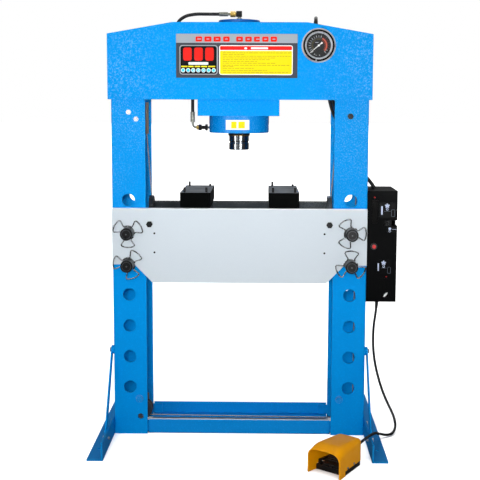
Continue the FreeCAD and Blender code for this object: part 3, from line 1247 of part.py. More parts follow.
guard = tapered([(0, 0), (0, 107), (46, 124), (PLg, 117), (PLg, 0)], 0.0)
guard = guard.makeFillet(20.0, roof_edges(guard, 90, 200))
hollow = tapered([(-6, -6), (-6, 101.8), (46.4, 121), (PLg - PT, 114.1), (PLg - PT, -6)], PT)
hollow = hollow.makeFillet(17.0, roof_edges(hollow, 90, 200))
guard = guard.cut(hollow)
# behind the front flaps the sides stop above the floor, over the base's rim
guard = guard.cut(Part.makeBox(400, PLg + 60, 23.0, Vector(-200, 52.0, -1.0)))
guard = guard.removeSplitter()
pedal_rot = Rotation(Vector(0, 0, 1), V["pedal_turn"])
pedal_at = Placement(Vector(V["pedal_x"] + V["org_x"], V["pedal_y"] + V["org_y"], 0), pedal_rot)
# cord hole in the back wall
BACK_U, BACK_Z = 18.0, 70.0
guard = guard.cut(Part.makeCylinder(9.3, 30, Vector(BACK_U, PLg - 15, BACK_Z), Vector(0, 1, 0)))
screw_at = [(72.0, 30.0), (132.0, 30.0)]
for sv, sw in screw_at:
    guard = guard.cut(Part.makeCylinder(3.2, 400, Vector(-200, sv, sw), Vector(1, 0, 0)))
feature("pedal_guard", guard, pedal_at)

# Base: a cast tray between the guard's sides, with ears for the treadle pin.
def taper_block(v0, v1, gap, z0_, z1_):
    a0_, a1_ = half_at(v0) - gap, half_at(v1) - gap
    wire = Part.makePolygon([Vector(-a0_, v0, z0_), Vector(a0_, v0, z0_), Vector(a1_, v1, z0_),
                             Vector(-a1_, v1, z0_), Vector(-a0_, v0, z0_)])
    return Part.Face(wire).extrude(Vector(0, 0, z1_ - z0_))


base = taper_block(50.0, PLg - PT - 0.5, PT + 0.4, 0.0, 40.0)
base = base.cut(taper_block(58.0, PLg - PT - 9.0, PT + 9.0, 8.0, 60.0))
base = base.cut(Part.makeBox(400, 60, 30, Vector(-200, 40.0, 22.0)).cut(
    Part.makeBox(400, 60, 40, Vector(-200, 64.0, 20.0))))
switch = Part.makeBox(44, 40, 30, Vector(-22, 120, 8.0))
base = base.fuse(switch)
for sv, sw in screw_at:
    base = base.cut(Part.makeCylinder(2.6, 400, Vector(-200, sv, sw), Vector(1, 0, 0)))
base = base.cut(Part.makeCylinder(3.1, 400, Vector(-200, 80.0, 30.0), Vector(1, 0, 0)))
base = base.removeSplitter()

# Screws through the guard's sides, and the treadle's pin.
scr = []
for sv, sw in screw_at:
    h_ = half_at(sv)
    for sgn in (-1, 1):
        s_ = Part.makeCylinder(5.0, 2.6, Vector(sgn * (h_ + 0.7), sv, sw), Vector(sgn, 0, 0))
        s_ = s_.fuse(Part.makeCylinder(2.5, 9.5, Vector(sgn * (h_ + 1.0), sv, sw), Vector(-sgn, 0, 0)))
        scr.append(s_.removeSplitter())
h_ = half_at(80.0)
scr.append(Part.makeCylinder(3.0, 2 * (h_ - PT - 2.0), Vector(-(h_ - PT - 2.0), 80.0, 30.0), Vector(1, 0, 0)))
feature("pedal_screws", Part.makeCompound(scr), pedal_at)

# Treadle: a ribbed plate on the pin, sprung up over the switch.
prof = Part.makePolygon([Vector(0, -26, -7.2), Vector(0, -26, 3), Vector(0, -8, 9), Vector(0, 96, 56),
                         Vector(0, 98, 50), Vector(0, 92, 44), Vector(0, 6, 2.0), Vector(0, 6, -6.5),
                         Vector(0, -6, -6.5), Vector(0, -26, -7.2)])
tread = Part.Face(prof).extrude(Vector(80, 0, 0))
tread.translate(Vector(-40, 0, 0))
tread = tread.cut(Part.makeCylinder(3.05, 120, Vector(-60, 0, 0), Vector(1, 0, 0)))
side_cut = Part.makeBox(60, 120, 90, Vector(0, 0, -20))
s1_ = side_cut.copy()
s1_.rotate(Vector(), Vector(0, 0, 1), 7.0)
s1_.translate(Vector(39.5, -2, 0))
tread = tread.cut(s1_).cut(s1_.mirror(Vector(), Vector(1, 0, 0)))
tread = tread.removeSplitter()
tread.translate(Vector(0, 80.0, 30.0))
feature("pedal_treadle", tread, pedal_at)

# The pedal's cord bush, a tapered strain relief on the back wall.
bush = Part.makeCylinder(9.2, PT + 2, Vector(BACK_U, PLg - PT - 0.3, BACK_Z), Vector(0, 1, 0))
bush = bush.fuse(Part.makeCone(11.5, 8.0, 22, Vector(BACK_U, PLg + 0.1, BACK_Z), Vector(0, 1, 0)))
bush = bush.cut(Part.makeCylinder(6.1, 20, Vector(BACK_U, PLg + 8, BACK_Z), Vector(0, 1, 0))).removeSplitter()
feature("pedal_base", Part.makeCompound([base, bush]), pedal_at)

# ================================================================== the cord
# From the gland down, over the right foot's angle and into the pedal's back.
e_dir = pedal_rot.multVec(Vector(0, 1, 0))
bush_end = pedal_rot.multVec(Vector(BACK_U, PLg + 8, BACK_Z)) + Vector(V["pedal_x"], V["pedal_y"], 0)
lead = bush_end + e_dir * 30
CORD = [(645, 0, 631), (645, 0, 590), (640, -1, 545), (633, -2, 495), (630.5, -4, 440), (632, -6, 385),
        (638, -9, 330), (649, -13, 276), (663, -18, 224), (680, -25, 174), (700, -34, 128),
        (718, -47, 93), (730, -63, 64), (734, -86, 37.5), (725.5, -114, 18), (706, -142, 10.5),
        (676, -161, 14), (652.5, -183, 26.5), (640, -211, 37), (633, -244, 48), (629, -278, 60),
        (626, -312, 73), (621, -346, 86), (606.5, -373, 98.5), (587.5, -397, 100), (565.5, -414.5, 93.5),
        (542.5, -425.5, 79), (round(lead.x, 1), round(lead.y, 1), 70.0),
        (round(bush_end.x, 1), round(bush_end.y, 1), 70.0)]
feature("pedal_cord", tube("pedal_cord", CORD, V["cord_dia"]))

# ============================================================ check and write
doc.recompute()
bad = []
for obj in doc.Objects:
    if any(s in ("Invalid", "Error") for s in obj.State):
        bad.append((obj.Name, obj.State))
labels = set()
for obj in NODES:
    shape = obj.Shape
    if shape.isNull() or not shape.isValid() or shape.Volume <= 0:
        bad.append((obj.Label, "shape"))
    if obj.Label in labels:
        bad.append((obj.Label, "label used twice"))
    labels.add(obj.Label)
if bad:
    raise SystemExit("failed: %s" % bad)

whole = None
for obj in NODES:
    if obj.Label != "pedal_cord":
        bb = obj.Shape.BoundBox
        if whole is None:
            whole = FreeCAD.BoundBox(bb)
        else:
            whole.add(bb)
print("box without the cord: X %.2f..%.2f Y %.2f..%.2f Z %.2f..%.2f centre %.2f %.2f" % (
    whole.XMin, whole.XMax, whole.YMin, whole.YMax, whole.ZMin, whole.ZMax,
    (whole.XMin + whole.XMax) / 2, (whole.YMin + whole.YMax) / 2))
os.makedirs("parts", exist_ok=True)
for obj in NODES:
    obj.Shape.exportStep("parts/%s.step" % obj.Label)
print("nodes", len(NODES), "solids", sum(len(o.Shape.Solids) for o in NODES))
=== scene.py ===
import json
import math
import random

import bmesh
import bpy
from mathutils import Matrix, Vector

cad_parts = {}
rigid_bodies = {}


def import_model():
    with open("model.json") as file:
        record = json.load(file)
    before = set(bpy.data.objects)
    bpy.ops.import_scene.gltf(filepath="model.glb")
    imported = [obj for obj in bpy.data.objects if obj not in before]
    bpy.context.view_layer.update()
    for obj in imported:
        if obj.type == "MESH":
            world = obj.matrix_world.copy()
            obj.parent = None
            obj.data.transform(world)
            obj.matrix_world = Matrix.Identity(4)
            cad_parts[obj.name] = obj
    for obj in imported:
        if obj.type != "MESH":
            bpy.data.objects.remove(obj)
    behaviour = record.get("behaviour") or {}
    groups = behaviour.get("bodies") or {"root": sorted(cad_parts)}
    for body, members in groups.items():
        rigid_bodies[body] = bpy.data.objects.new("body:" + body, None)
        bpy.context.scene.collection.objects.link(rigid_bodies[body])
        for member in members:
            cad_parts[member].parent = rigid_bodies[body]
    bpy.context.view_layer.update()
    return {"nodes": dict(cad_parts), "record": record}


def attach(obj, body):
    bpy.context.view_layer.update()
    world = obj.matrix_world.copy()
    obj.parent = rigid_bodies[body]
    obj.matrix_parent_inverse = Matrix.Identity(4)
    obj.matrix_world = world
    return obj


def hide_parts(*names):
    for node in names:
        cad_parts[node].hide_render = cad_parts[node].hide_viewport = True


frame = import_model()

NODES = frame["nodes"]
scene = bpy.context.scene
scene.view_settings.view_transform = "Standard"
scene.view_settings.look = "None"

OX, OY = -0.033, 0.0973


def P(x, y, z):
    """A place on the press, in millimetres from the columns' centre, as metres in the row frame."""
    return Vector((x / 1000.0 + OX, y / 1000.0 + OY, z / 1000.0))


def srgb(r, g, b):
    def one(c):
        c = c / 255.0
        return c / 12.92 if c <= 0.04045 else ((c + 0.055) / 1.055) ** 2.4
    return (one(r), one(g), one(b), 1.0)


# ---------------------------------------------------------------- camera

cam_data = bpy.data.cameras.new("camera")
cam = bpy.data.objects.new("camera", cam_data)
scene.collection.objects.link(cam)
cam_data.sensor_fit = "HORIZONTAL"
cam_data.sensor_width = 36.0
cam_data.lens = 36.0 * 968.5 / 480.0
cam_data.shift_x = -0.0142
cam_data.shift_y = -0.064
cam_data.clip_start, cam_data.clip_end = 0.05, 400.0
pitch, yaw, roll = math.radians(6.4), math.radians(-0.8), math.radians(0.2)
fwd = Vector((math.sin(yaw) * math.cos(pitch), math.cos(yaw) * math.cos(pitch), -math.sin(pitch)))
right = Vector((math.cos(yaw), -math.sin(yaw), 0.0))
up = right.cross(fwd)
r_ = right * math.cos(roll) + up * math.sin(roll)
u_ = -right * math.sin(roll) + up * math.cos(roll)
m = Matrix.Identity(4)
for i in range(3):
    m[i][0], m[i][1], m[i][2] = r_[i], u_[i], -fwd[i]
m.translation = P(94.0, -4500.0, 1546.7)
cam.matrix_world = m
scene.camera = cam


# ---------------------------------------------------------------- materials

class Mat:
    """A small helper around one node material."""

    def __init__(self, name):
        self.m = bpy.data.materials.new(name)
        self.m.use_nodes = True
        self.t = self.m.node_tree
        self.t.nodes.clear()
        self.out = self.t.nodes.new("ShaderNodeOutputMaterial")
        self.b = self.t.nodes.new("ShaderNodeBsdfPrincipled")
        self.t.links.new(self.b.outputs[0], self.out.inputs[0])
        self.tc = self.t.nodes.new("ShaderNodeTexCoord")
        self.co = self.tc.outputs["Object"]

    def n(self, kind, **kw):
        node = self.t.nodes.new(kind)
        for k, v in kw.items():
            setattr(node, k, v)
        return node

    def put(self, socket, value):
        if hasattr(value, "is_output"):
            self.t.links.new(value, socket)
        elif value is not None:
            socket.default_value = value

    def set(self, **kw):
        for k, v in kw.items():
            self.put(self.b.inputs[k.replace("_", " ")], v)
        return self

    def math(self, op, a, b=None, c=None, clamp=False):
        node = self.n("ShaderNodeMath", operation=op, use_clamp=clamp)
        self.put(node.inputs[0], a)
        if b is not None:
            self.put(node.inputs[1], b)
        if c is not None:
            self.put(node.inputs[2], c)
        return node.outputs[0]

    def xyz(self, vector=None):
        s = self.n("ShaderNodeSeparateXYZ")
        self.put(s.inputs[0], vector or self.co)
        return s.outputs[0], s.outputs[1], s.outputs[2]

    def vec(self, x, y, z):
        c = self.n("ShaderNodeCombineXYZ")
        for s, v in zip(c.inputs, (x, y, z)):
            self.put(s, v)
        return c.outputs[0]

    def scaled(self, x, y, z, vector=None):
        node = self.n("ShaderNodeMapping")
        self.put(node.inputs["Vector"], vector or self.co)
        node.inputs["Scale"].default_value = (x, y, z)
        return node.outputs[0]

    def noise(self, scale, detail=2.0, rough=0.5, vector=None, distort=0.0):
        node = self.n("ShaderNodeTexNoise")
        self.put(node.inputs["Vector"], vector or self.co)
        node.inputs["Scale"].default_value = scale
        node.inputs["Detail"].default_value = detail
        node.inputs["Roughness"].default_value = rough
        node.inputs["Distortion"].default_value = distort
        return node.outputs["Fac"] if "Fac" in node.outputs else node.outputs[0]

    def voronoi(self, scale, feature="F1", vector=None, rand=1.0):
        node = self.n("ShaderNodeTexVoronoi", feature=feature)
        self.put(node.inputs["Vector"], vector or self.co)
        node.inputs["Scale"].default_value = scale
        node.inputs["Randomness"].default_value = rand
        return node.outputs["Distance"]

    def wave(self, scale, direction="Z", distort=0.0, vector=None, profile="SIN", detail_scale=1.0):
        node = self.n("ShaderNodeTexWave", wave_type="BANDS", bands_direction=direction, wave_profile=profile)
        self.put(node.inputs["Vector"], vector or self.co)
        node.inputs["Scale"].default_value = scale
        node.inputs["Distortion"].default_value = distort
        node.inputs["Detail Scale"].default_value = detail_scale
        return node.outputs["Fac"] if "Fac" in node.outputs else node.outputs[1]

    def ramp(self, fac, stops, mode="LINEAR"):
        node = self.n("ShaderNodeValToRGB")
        self.put(node.inputs[0], fac)
        node.color_ramp.interpolation = mode
        e = node.color_ramp.elements
        while len(e) > 1:
            e.remove(e[-1])
        e[0].position, e[0].color = stops[0]
        for pos, col in stops[1:]:
            el = e.new(pos)
            el.color = col
        return node.outputs[0]

    def span(self, value, a, b, lo=0.0, hi=1.0, smooth=False):
        node = self.n("ShaderNodeMapRange", clamp=True)
        if smooth:
            node.interpolation_type = "SMOOTHSTEP"
        self.put(node.inputs["Value"], value)
        node.inputs["From Min"].default_value = a
        node.inputs["From Max"].default_value = b
        node.inputs["To Min"].default_value = lo
        node.inputs["To Max"].default_value = hi
        return node.outputs[0]

    def mix(self, fac, a, b, blend="MIX"):
        node = self.n("ShaderNodeMix", data_type="RGBA", blend_type=blend)
        self.put(node.inputs[0], fac)
        self.put(node.inputs[6], a)
        self.put(node.inputs[7], b)
        return node.outputs[2]

    def bump(self, height, strength=0.2, distance=0.001, normal=None):
        node = self.n("ShaderNodeBump")
        node.inputs["Strength"].default_value = strength
        node.inputs["Distance"].default_value = distance
        self.put(node.inputs["Height"], height)
        if normal is not None:
            self.put(node.inputs["Normal"], normal)
        return node.outputs[0]

    def rounded(self, radius):
        node = self.n("ShaderNodeBevel", samples=4)
        node.inputs["Radius"].default_value = radius
        return node.outputs[0]

    def edge(self, radius, lo=0.02, hi=0.35):
        """0 on flat faces, up to 1 along sharp edges."""
        bev = self.rounded(radius)
        geo = self.n("ShaderNodeNewGeometry")
        dot = self.n("ShaderNodeVectorMath", operation="DOT_PRODUCT")
        self.put(dot.inputs[0], bev)
        self.put(dot.inputs[1], geo.outputs["Normal"])
        inv = self.math("SUBTRACT", 1.0, dot.outputs["Value"])
        return self.span(inv, lo, hi), bev


def paint(name, base, shade, glint, rough=0.42, peel=0.22, cell=260.0, edge_r=0.0016, edge_col=None,
          edge_amount=0.35, spec=0.35, coat=0.0, stipple=0.35, blotch=0.35, band=None, painted_sparkle=None):
    """Sprayed enamel: slow shade drift, a fine stipple of painted glints (sparkle highlights), paler edges that are
    part thin rubbed coat, part painted edge highlight.
    band is (low, high, colour): a painted highlight along the top edge of front parts, between two heights.
    The last argument, (low, high, colour), is painted sparkle: coarse pale specks of painted highlight that grow
    between two heights and towards the outer sides."""
    q = Mat(name)
    slow = q.span(q.noise(2.6, 3.0, 0.55), 0.3, 0.7)
    fine = q.noise(cell, 2.0, 0.6)
    fine2 = q.noise(cell * 3.1, 1.0, 0.5)
    col = q.mix(q.math("MULTIPLY", slow, blotch), base, shade)
    # fine stipple towards the glint colour: painted sparkle highlights on the orange peel
    spk = q.span(fine, 0.52, 0.74)
    col = q.mix(q.math("MULTIPLY", spk, stipple), col, glint)
    # painted sparkle highlight: pale specks, stronger higher up and towards the outer sides
    if painted_sparkle:
        spot = q.n("ShaderNodeNewGeometry")
        sx, sy, sz = q.xyz(spot.outputs["Position"])
        side = q.span(q.math("ABSOLUTE", q.math("SUBTRACT", sx, OX)), 0.22, 0.55, 0.25, 1.0, smooth=True)
        dots = q.span(q.noise(150.0, 3.0, 0.75), 0.50, 0.66)
        amount = q.math("MULTIPLY", q.math("MULTIPLY", q.span(sz, painted_sparkle[0], painted_sparkle[1], smooth=True), side), q.span(q.noise(5.0, 2.0, 0.5), 0.35, 0.6, 0.35, 1.0))
        col = q.mix(q.math("MULTIPLY", amount, q.math("MULTIPLY_ADD", dots, 0.26, 0.0)), col, painted_sparkle[2])
    edge, bev = q.edge(edge_r)
    # paler edges: part rubbed-through paint, part painted edge highlight
    edge_wear_and_highlight = q.math("MULTIPLY", edge, q.span(q.noise(60.0, 3.0, 0.6), 0.35, 0.62, 0.35, 1.0))
    col = q.mix(q.math("MULTIPLY", edge_wear_and_highlight, edge_amount), col, edge_col or glint)
    # band: painted highlight along the top edge
    if band:
        place = q.n("ShaderNodeNewGeometry")
        depth, height = q.xyz(place.outputs["Position"])[1:]
        inside = q.math("MULTIPLY", q.math("LESS_THAN", height, band[1] + 0.0022), q.math("LESS_THAN", depth, OY + 0.02))
        inside = q.math("MULTIPLY", inside, q.span(height, band[0], band[1]))
        col = q.mix(q.math("MULTIPLY", inside, q.span(fine, 0.25, 0.6, 0.75, 1.0)), col, band[2])
    q.set(Base_Color=col, Roughness=q.span(q.math("ADD", q.math("MULTIPLY", fine, 0.6), q.math("MULTIPLY", slow, 0.4)), 0.3, 0.7, rough - 0.07, rough + 0.09))
    h = q.math("ADD", q.math("MULTIPLY", fine, 0.7), q.math("MULTIPLY", fine2, 0.3))
    q.set(Normal=q.bump(h, peel, 0.0009, bev))
    q.b.inputs["Specular IOR Level"].default_value = spec
    if coat:
        q.b.inputs["Coat Weight"].default_value = coat
        q.b.inputs["Coat Roughness"].default_value = 0.12
    return q.m


def metal(name, base, dark, rough=0.3, metallic=1.0, scratch=(400.0, 400.0, 30.0), edge_col=None, edge_amount=0.4,
          edge_r=0.0006, bump=0.08, aniso=0.0, spec=0.5, blotch=0.6):
    """Machined or plated metal with fine drawn lines, dull blotches, and edges moved towards edge_col: a painted edge
    highlight where that colour is paler, a painted edge shade where it is darker.
    """
    q = Mat(name)
    lines = q.noise(1.0, 3.0, 0.6, q.scaled(*scratch))
    blot = q.span(q.noise(38.0, 4.0, 0.6), 0.35, 0.68)
    col = q.mix(q.math("MULTIPLY", blot, blotch), base, dark)
    edge, bev = q.edge(edge_r)
    # edges: painted edge highlight where edge_col is paler, painted edge shade where it is darker
    col = q.mix(q.math("MULTIPLY", edge, edge_amount), col, edge_col or base)
    q.set(Base_Color=col, Roughness=q.span(q.math("ADD", q.math("MULTIPLY", lines, 0.5), q.math("MULTIPLY", blot, 0.5)), 0.2, 0.8, max(rough - 0.1, 0.03), rough + 0.12))
    q.set(Normal=q.bump(lines, bump, 0.0004, bev))
    q.b.inputs["Metallic"].default_value = metallic
    q.b.inputs["Specular IOR Level"].default_value = spec
    if aniso:
        q.b.inputs["Anisotropic"].default_value = aniso
    return q.m


def rubber(name, base, worn, rough=0.6, grain=900.0, wrap=0.0, spec=0.35, bump=0.25):
    q = Mat(name)
    g = q.noise(grain, 2.0, 0.6)
    dust = q.span(q.noise(45.0, 4.0, 0.65), 0.45, 0.75)
    col = q.mix(q.math("MULTIPLY", dust, 0.45), base, worn)
    h = g
    if wrap:
        x, y, z = q.xyz()
        s = q.math("ADD", q.math("ADD", x, y), z)
        w1 = q.math("SINE", q.math("MULTIPLY", s, wrap))
        h = q.math("ADD", q.math("MULTIPLY", w1, 0.35), g)
    q.set(Base_Color=col, Roughness=q.span(g, 0.3, 0.7, rough - 0.08, rough + 0.1), Normal=q.bump(h, bump, 0.0005))
    q.b.inputs["Specular IOR Level"].default_value = spec
    return q.m


def moulded(name, base, worn, rough=0.4, grain=1200.0, bump=0.12, spec=0.45, edge_col=None, edge_amount=0.3, edge_r=0.0012, coat=0.0):
    q = Mat(name)
    g = q.noise(grain, 2.0, 0.55)
    slow = q.span(q.noise(14.0, 3.0, 0.6), 0.35, 0.7)
    col = q.mix(q.math("MULTIPLY", slow, 0.5), base, worn)
    edge, bev = q.edge(edge_r)
    # edges move towards the edge colour: a painted edge highlight
    col = q.mix(q.math("MULTIPLY", edge, edge_amount), col, edge_col or worn)
    q.set(Base_Color=col, Roughness=q.span(q.math("ADD", q.math("MULTIPLY", g, 0.5), q.math("MULTIPLY", slow, 0.5)), 0.25, 0.75, rough - 0.08, rough + 0.1), Normal=q.bump(g, bump, 0.0004, bev))
    q.b.inputs["Specular IOR Level"].default_value = spec
    if coat:
        q.b.inputs["Coat Weight"].default_value = coat
        q.b.inputs["Coat Roughness"].default_value = 0.08
    return q.m


def printed(name, base, worn, rough=0.4, spec=0.12, speck=0.25):
    """Ink on a film or a plate: faint fibre, tiny dust specks."""
    q = Mat(name)
    g = q.noise(700.0, 2.0, 0.6)
    d = q.span(q.voronoi(420.0), 0.0, 0.16, 1.0, 0.0)
    d = q.math("MULTIPLY", d, q.span(q.noise(30.0, 2.0), 0.5, 0.7))
    col = q.mix(q.math("MULTIPLY", q.span(g, 0.35, 0.7), 0.35), base, worn)
    col = q.mix(q.math("MULTIPLY", d, speck), col, worn)
    q.set(Base_Color=col, Roughness=q.span(g, 0.3, 0.7, rough - 0.06, rough + 0.08), Normal=q.bump(g, 0.05, 0.0003))
    q.b.inputs["Specular IOR Level"].default_value = spec
    return q.m


M = {}
# frame paint: the glint stipple and the pale specks towards the head and outer sides are painted sparkle highlights;
# paler edges are part painted highlight
M["frame_blue"] = paint("frame_blue", srgb(0, 142, 222), srgb(0, 132, 212), srgb(6, 164, 242), rough=0.40,
                        peel=0.5, cell=135.0, edge_col=srgb(110, 195, 255), edge_amount=0.30, spec=0.035, stipple=0.4,
                        painted_sparkle=(0.75, 1.55, srgb(176, 222, 250)))
# feet: the frame blue made darker as painted shade
M["foot_blue_painted_shade"] = paint("foot_blue_painted_shade", srgb(4, 130, 202), srgb(3, 116, 184), srgb(24, 156, 226), rough=0.44,
                       peel=0.4, cell=150.0, edge_col=srgb(96, 180, 236), edge_amount=0.35, spec=0.10, stipple=0.4)
# lower beams: a touch darker than the frame blue as painted shade, with a painted highlight band along the top edge
M["beam_blue"] = paint("beam_blue", srgb(0, 136, 216), srgb(0, 126, 206), srgb(20, 160, 240), rough=0.42,
                       peel=0.5, cell=135.0, edge_col=srgb(110, 195, 255), edge_amount=0.30, spec=0.10, stipple=0.5,
                       band=(0.0655, 0.0675, srgb(222, 226, 230)))
# collar: a touch darker than the frame blue as painted shade
M["collar_blue"] = paint("collar_blue", srgb(0, 132, 212), srgb(0, 122, 202), srgb(6, 156, 236), rough=0.24,
                         peel=0.08, cell=190.0, edge_col=srgb(110, 195, 255), edge_amount=0.4, spec=0.28, stipple=0.25)
# cylinder cap: the frame blue made much darker as painted shade
M["cap_blue_painted_shade"] = paint("cap_blue_painted_shade", srgb(0, 86, 160), srgb(0, 74, 144), srgb(20, 130, 210), rough=0.30,
                      peel=0.2, cell=190.0, edge_col=srgb(80, 175, 245), edge_amount=0.5, spec=0.3, stipple=0.3)
# tie bolts: the wide pale edges and the glint stipple are painted highlights
M["bolt_blue"] = paint("bolt_blue", srgb(2, 138, 218), srgb(0, 124, 204), srgb(90, 184, 244), rough=0.26,
                       peel=0.2, cell=260.0, edge_col=srgb(170, 222, 255), edge_amount=0.7, edge_r=0.0022, spec=0.4, stipple=0.4)
# bed plates: the near-white edges and the top band are painted highlights
M["bed_grey"] = paint("bed_grey", srgb(200, 209, 216), srgb(192, 202, 210), srgb(214, 221, 226), rough=0.36,
                      peel=0.07, cell=320.0, edge_col=srgb(250, 250, 250), edge_amount=0.55, spec=0.3, stipple=0.2,
                      band=(1.0565, 1.0590, srgb(246, 249, 252)))
# bed guard: the large grey blotches on the black are painted reflection patches; the paler edges are painted highlight
M["guard_black"] = paint("guard_black", srgb(5, 6, 7), srgb(84, 90, 94), srgb(44, 46, 48), rough=0.24,
                         peel=0.10, cell=180.0, edge_col=srgb(110, 114, 118), edge_amount=0.4, spec=0.3, stipple=0.2, blotch=0.9)
# burnished sides; the upward-facing top face is painted lighter grey as a painted reflection, over milling lines; the
# paler edges are a painted edge highlight
q = Mat("block_steel")
geo = q.n("ShaderNodeNewGeometry")
top = q.span(q.xyz(geo.outputs["True Normal"])[2], 0.6, 0.9)
lines = q.noise(1.0, 3.0, 0.6, q.scaled(40.0, 700.0, 600.0))
blot = q.span(q.noise(16.0, 4.0, 0.6), 0.35, 0.7)
edge, bev = q.edge(0.0014)
side_c = q.mix(blot, srgb(1, 2, 2), srgb(4, 5, 5))
top_reflection_col = q.mix(q.math("ADD", q.math("MULTIPLY", blot, 0.6), q.math("MULTIPLY", lines, 0.4)), srgb(88, 93, 97), srgb(142, 147, 152))
col = q.mix(top, side_c, top_reflection_col)
col = q.mix(q.math("MULTIPLY", edge, 0.4), col, srgb(118, 118, 120))
q.set(Base_Color=col, Roughness=q.span(lines, 0.3, 0.7, 0.34, 0.48), Normal=q.bump(lines, 0.1, 0.0004, bev))
q.b.inputs["Specular IOR Level"].default_value = 0.03
M["block_steel"] = q.m
# pins: the paler edges are a painted edge highlight
M["pin_steel"] = metal("pin_steel", srgb(24, 25, 27), srgb(9, 9, 10), rough=0.34, metallic=0.5,
                       scratch=(500.0, 30.0, 500.0), edge_col=srgb(110, 110, 112), edge_amount=0.5, edge_r=0.0016, bump=0.12)
# zinc: the dark edge colour is a painted edge shade
M["zinc"] = metal("zinc", srgb(208, 211, 213), srgb(164, 168, 171), rough=0.32, scratch=(260.0, 260.0, 260.0),
                  edge_col=srgb(70, 74, 78), edge_amount=0.75, edge_r=0.0016, bump=0.05, metallic=0.9)
# clip wire: the dark edge colour is a painted edge shade
M["clip_wire"] = metal("clip_wire", srgb(176, 179, 182), srgb(96, 100, 103), rough=0.24, scratch=(260.0, 260.0, 260.0),
                       edge_col=srgb(70, 74, 78), edge_amount=0.2, bump=0.04)
# black oxide: the paler edges are a painted edge highlight
M["black_oxide"] = metal("black_oxide", srgb(20, 21, 22), srgb(10, 10, 11), rough=0.36, metallic=0.5,
                         scratch=(500.0, 500.0, 500.0), edge_col=srgb(78, 78, 80), edge_amount=0.35, bump=0.1)
# hard chrome: ground and polished, so only a faint bloom changes its colour and gloss
q = Mat("hard_chrome")
bloom = q.span(q.noise(24.0, 3.0, 0.5), 0.35, 0.7)
rings = q.noise(1.0, 2.0, 0.5, q.scaled(2.0, 2.0, 1400.0))
q.set(Base_Color=q.mix(q.math("ADD", q.math("MULTIPLY", bloom, 0.5), q.math("MULTIPLY", rings, 0.5)), srgb(146, 150, 153), srgb(128, 132, 136)),
      Roughness=q.span(q.math("ADD", bloom, rings), 0.6, 1.4, 0.14, 0.2))
q.b.inputs["Metallic"].default_value = 1.0
M["hard_chrome"] = q.m
# machined steel and bronze: the paler edges are a painted edge highlight
M["machined_steel"] = metal("machined_steel", srgb(196, 200, 204), srgb(150, 154, 158), rough=0.24, scratch=(60.0, 60.0, 1500.0),
                            edge_col=srgb(235, 238, 240), bump=0.08)
M["bronze"] = metal("bronze", srgb(196, 150, 70), srgb(140, 96, 44), rough=0.30, scratch=(60.0, 60.0, 900.0),
                    edge_col=srgb(236, 200, 120), bump=0.1)
M["seal_rubber"] = rubber("seal_rubber", srgb(22, 22, 23), srgb(40, 40, 41))
M["hose_rubber"] = rubber("hose_rubber", srgb(17, 17, 18), srgb(38, 38, 39), rough=0.46, grain=1100.0, wrap=2600.0, spec=0.5)
M["bracket_paint"] = paint("bracket_paint", srgb(124, 114, 102), srgb(98, 88, 78), srgb(150, 140, 128), rough=0.5,
                           peel=0.12, cell=200.0, edge_col=srgb(150, 142, 130), spec=0.3)
# pulleys and gauge steel: the paler edges are a painted edge highlight
M["pulley_grey"] = metal("pulley_grey", srgb(92, 94, 98), srgb(54, 56, 58), rough=0.42, metallic=0.6,
                         scratch=(300.0, 300.0, 300.0), edge_col=srgb(160, 162, 166))
M["gauge_steel"] = metal("gauge_steel", srgb(206, 196, 192), srgb(168, 160, 158), rough=0.30, scratch=(120.0, 900.0, 120.0),
                         edge_col=srgb(230, 226, 224), bump=0.02, metallic=0.45)
M["dial_face"] = printed("dial_face", srgb(14, 15, 17), srgb(26, 27, 29), rough=0.45)
M["pointer_white"] = printed("pointer_white", srgb(240, 240, 238), srgb(214, 214, 212), rough=0.35)
M["label_print"] = printed("label_print", srgb(60, 63, 71), srgb(70, 74, 82), rough=0.34)
M["pack_black"] = paint("pack_black", srgb(2, 3, 4), srgb(1, 1, 2), srgb(9, 11, 13), rough=0.42,
                        peel=0.22, cell=420.0, edge_col=srgb(56, 62, 68), edge_amount=0.35, spec=0.05, stipple=0.3)
M["tank_steel"] = paint("tank_steel", srgb(58, 62, 66), srgb(44, 48, 52), srgb(86, 90, 94), rough=0.45, cell=200.0)
M["motor_grey"] = paint("motor_grey", srgb(110, 114, 118), srgb(92, 96, 100), srgb(140, 144, 148), rough=0.5, cell=240.0)
# valve block: dark, with strong white edges as a painted highlight
M["block_alloy"] = metal("block_alloy", srgb(34, 36, 38), srgb(18, 19, 20), rough=0.5, metallic=0.3, scratch=(300.0, 300.0, 300.0),
                         edge_col=srgb(206, 210, 214), edge_amount=0.8, edge_r=0.0012, spec=0.2)
# lever: the pale edges are a painted glint
M["lever_steel"] = metal("lever_steel", srgb(20, 22, 24), srgb(10, 11, 12), rough=0.5, scratch=(500.0, 60.0, 500.0), metallic=0.2,
                         edge_col=srgb(196, 200, 204), edge_amount=0.7, edge_r=0.0012, spec=0.15)
M["button_red"] = moulded("button_red", srgb(204, 26, 22), srgb(170, 18, 16), rough=0.3, edge_col=srgb(240, 90, 80), coat=0.4)
M["sight_plastic"] = moulded("sight_plastic", srgb(1, 1, 1), srgb(3, 3, 4), rough=0.34, edge_col=srgb(24, 26, 30), spec=0.04)
M["black_plastic"] = moulded("black_plastic", srgb(16, 17, 18), srgb(28, 29, 30), rough=0.42, edge_col=srgb(60, 62, 64))
M["cord_black"] = rubber("cord_black", srgb(15, 15, 16), srgb(30, 30, 31), rough=0.42, grain=1500.0, spec=0.5, bump=0.12)
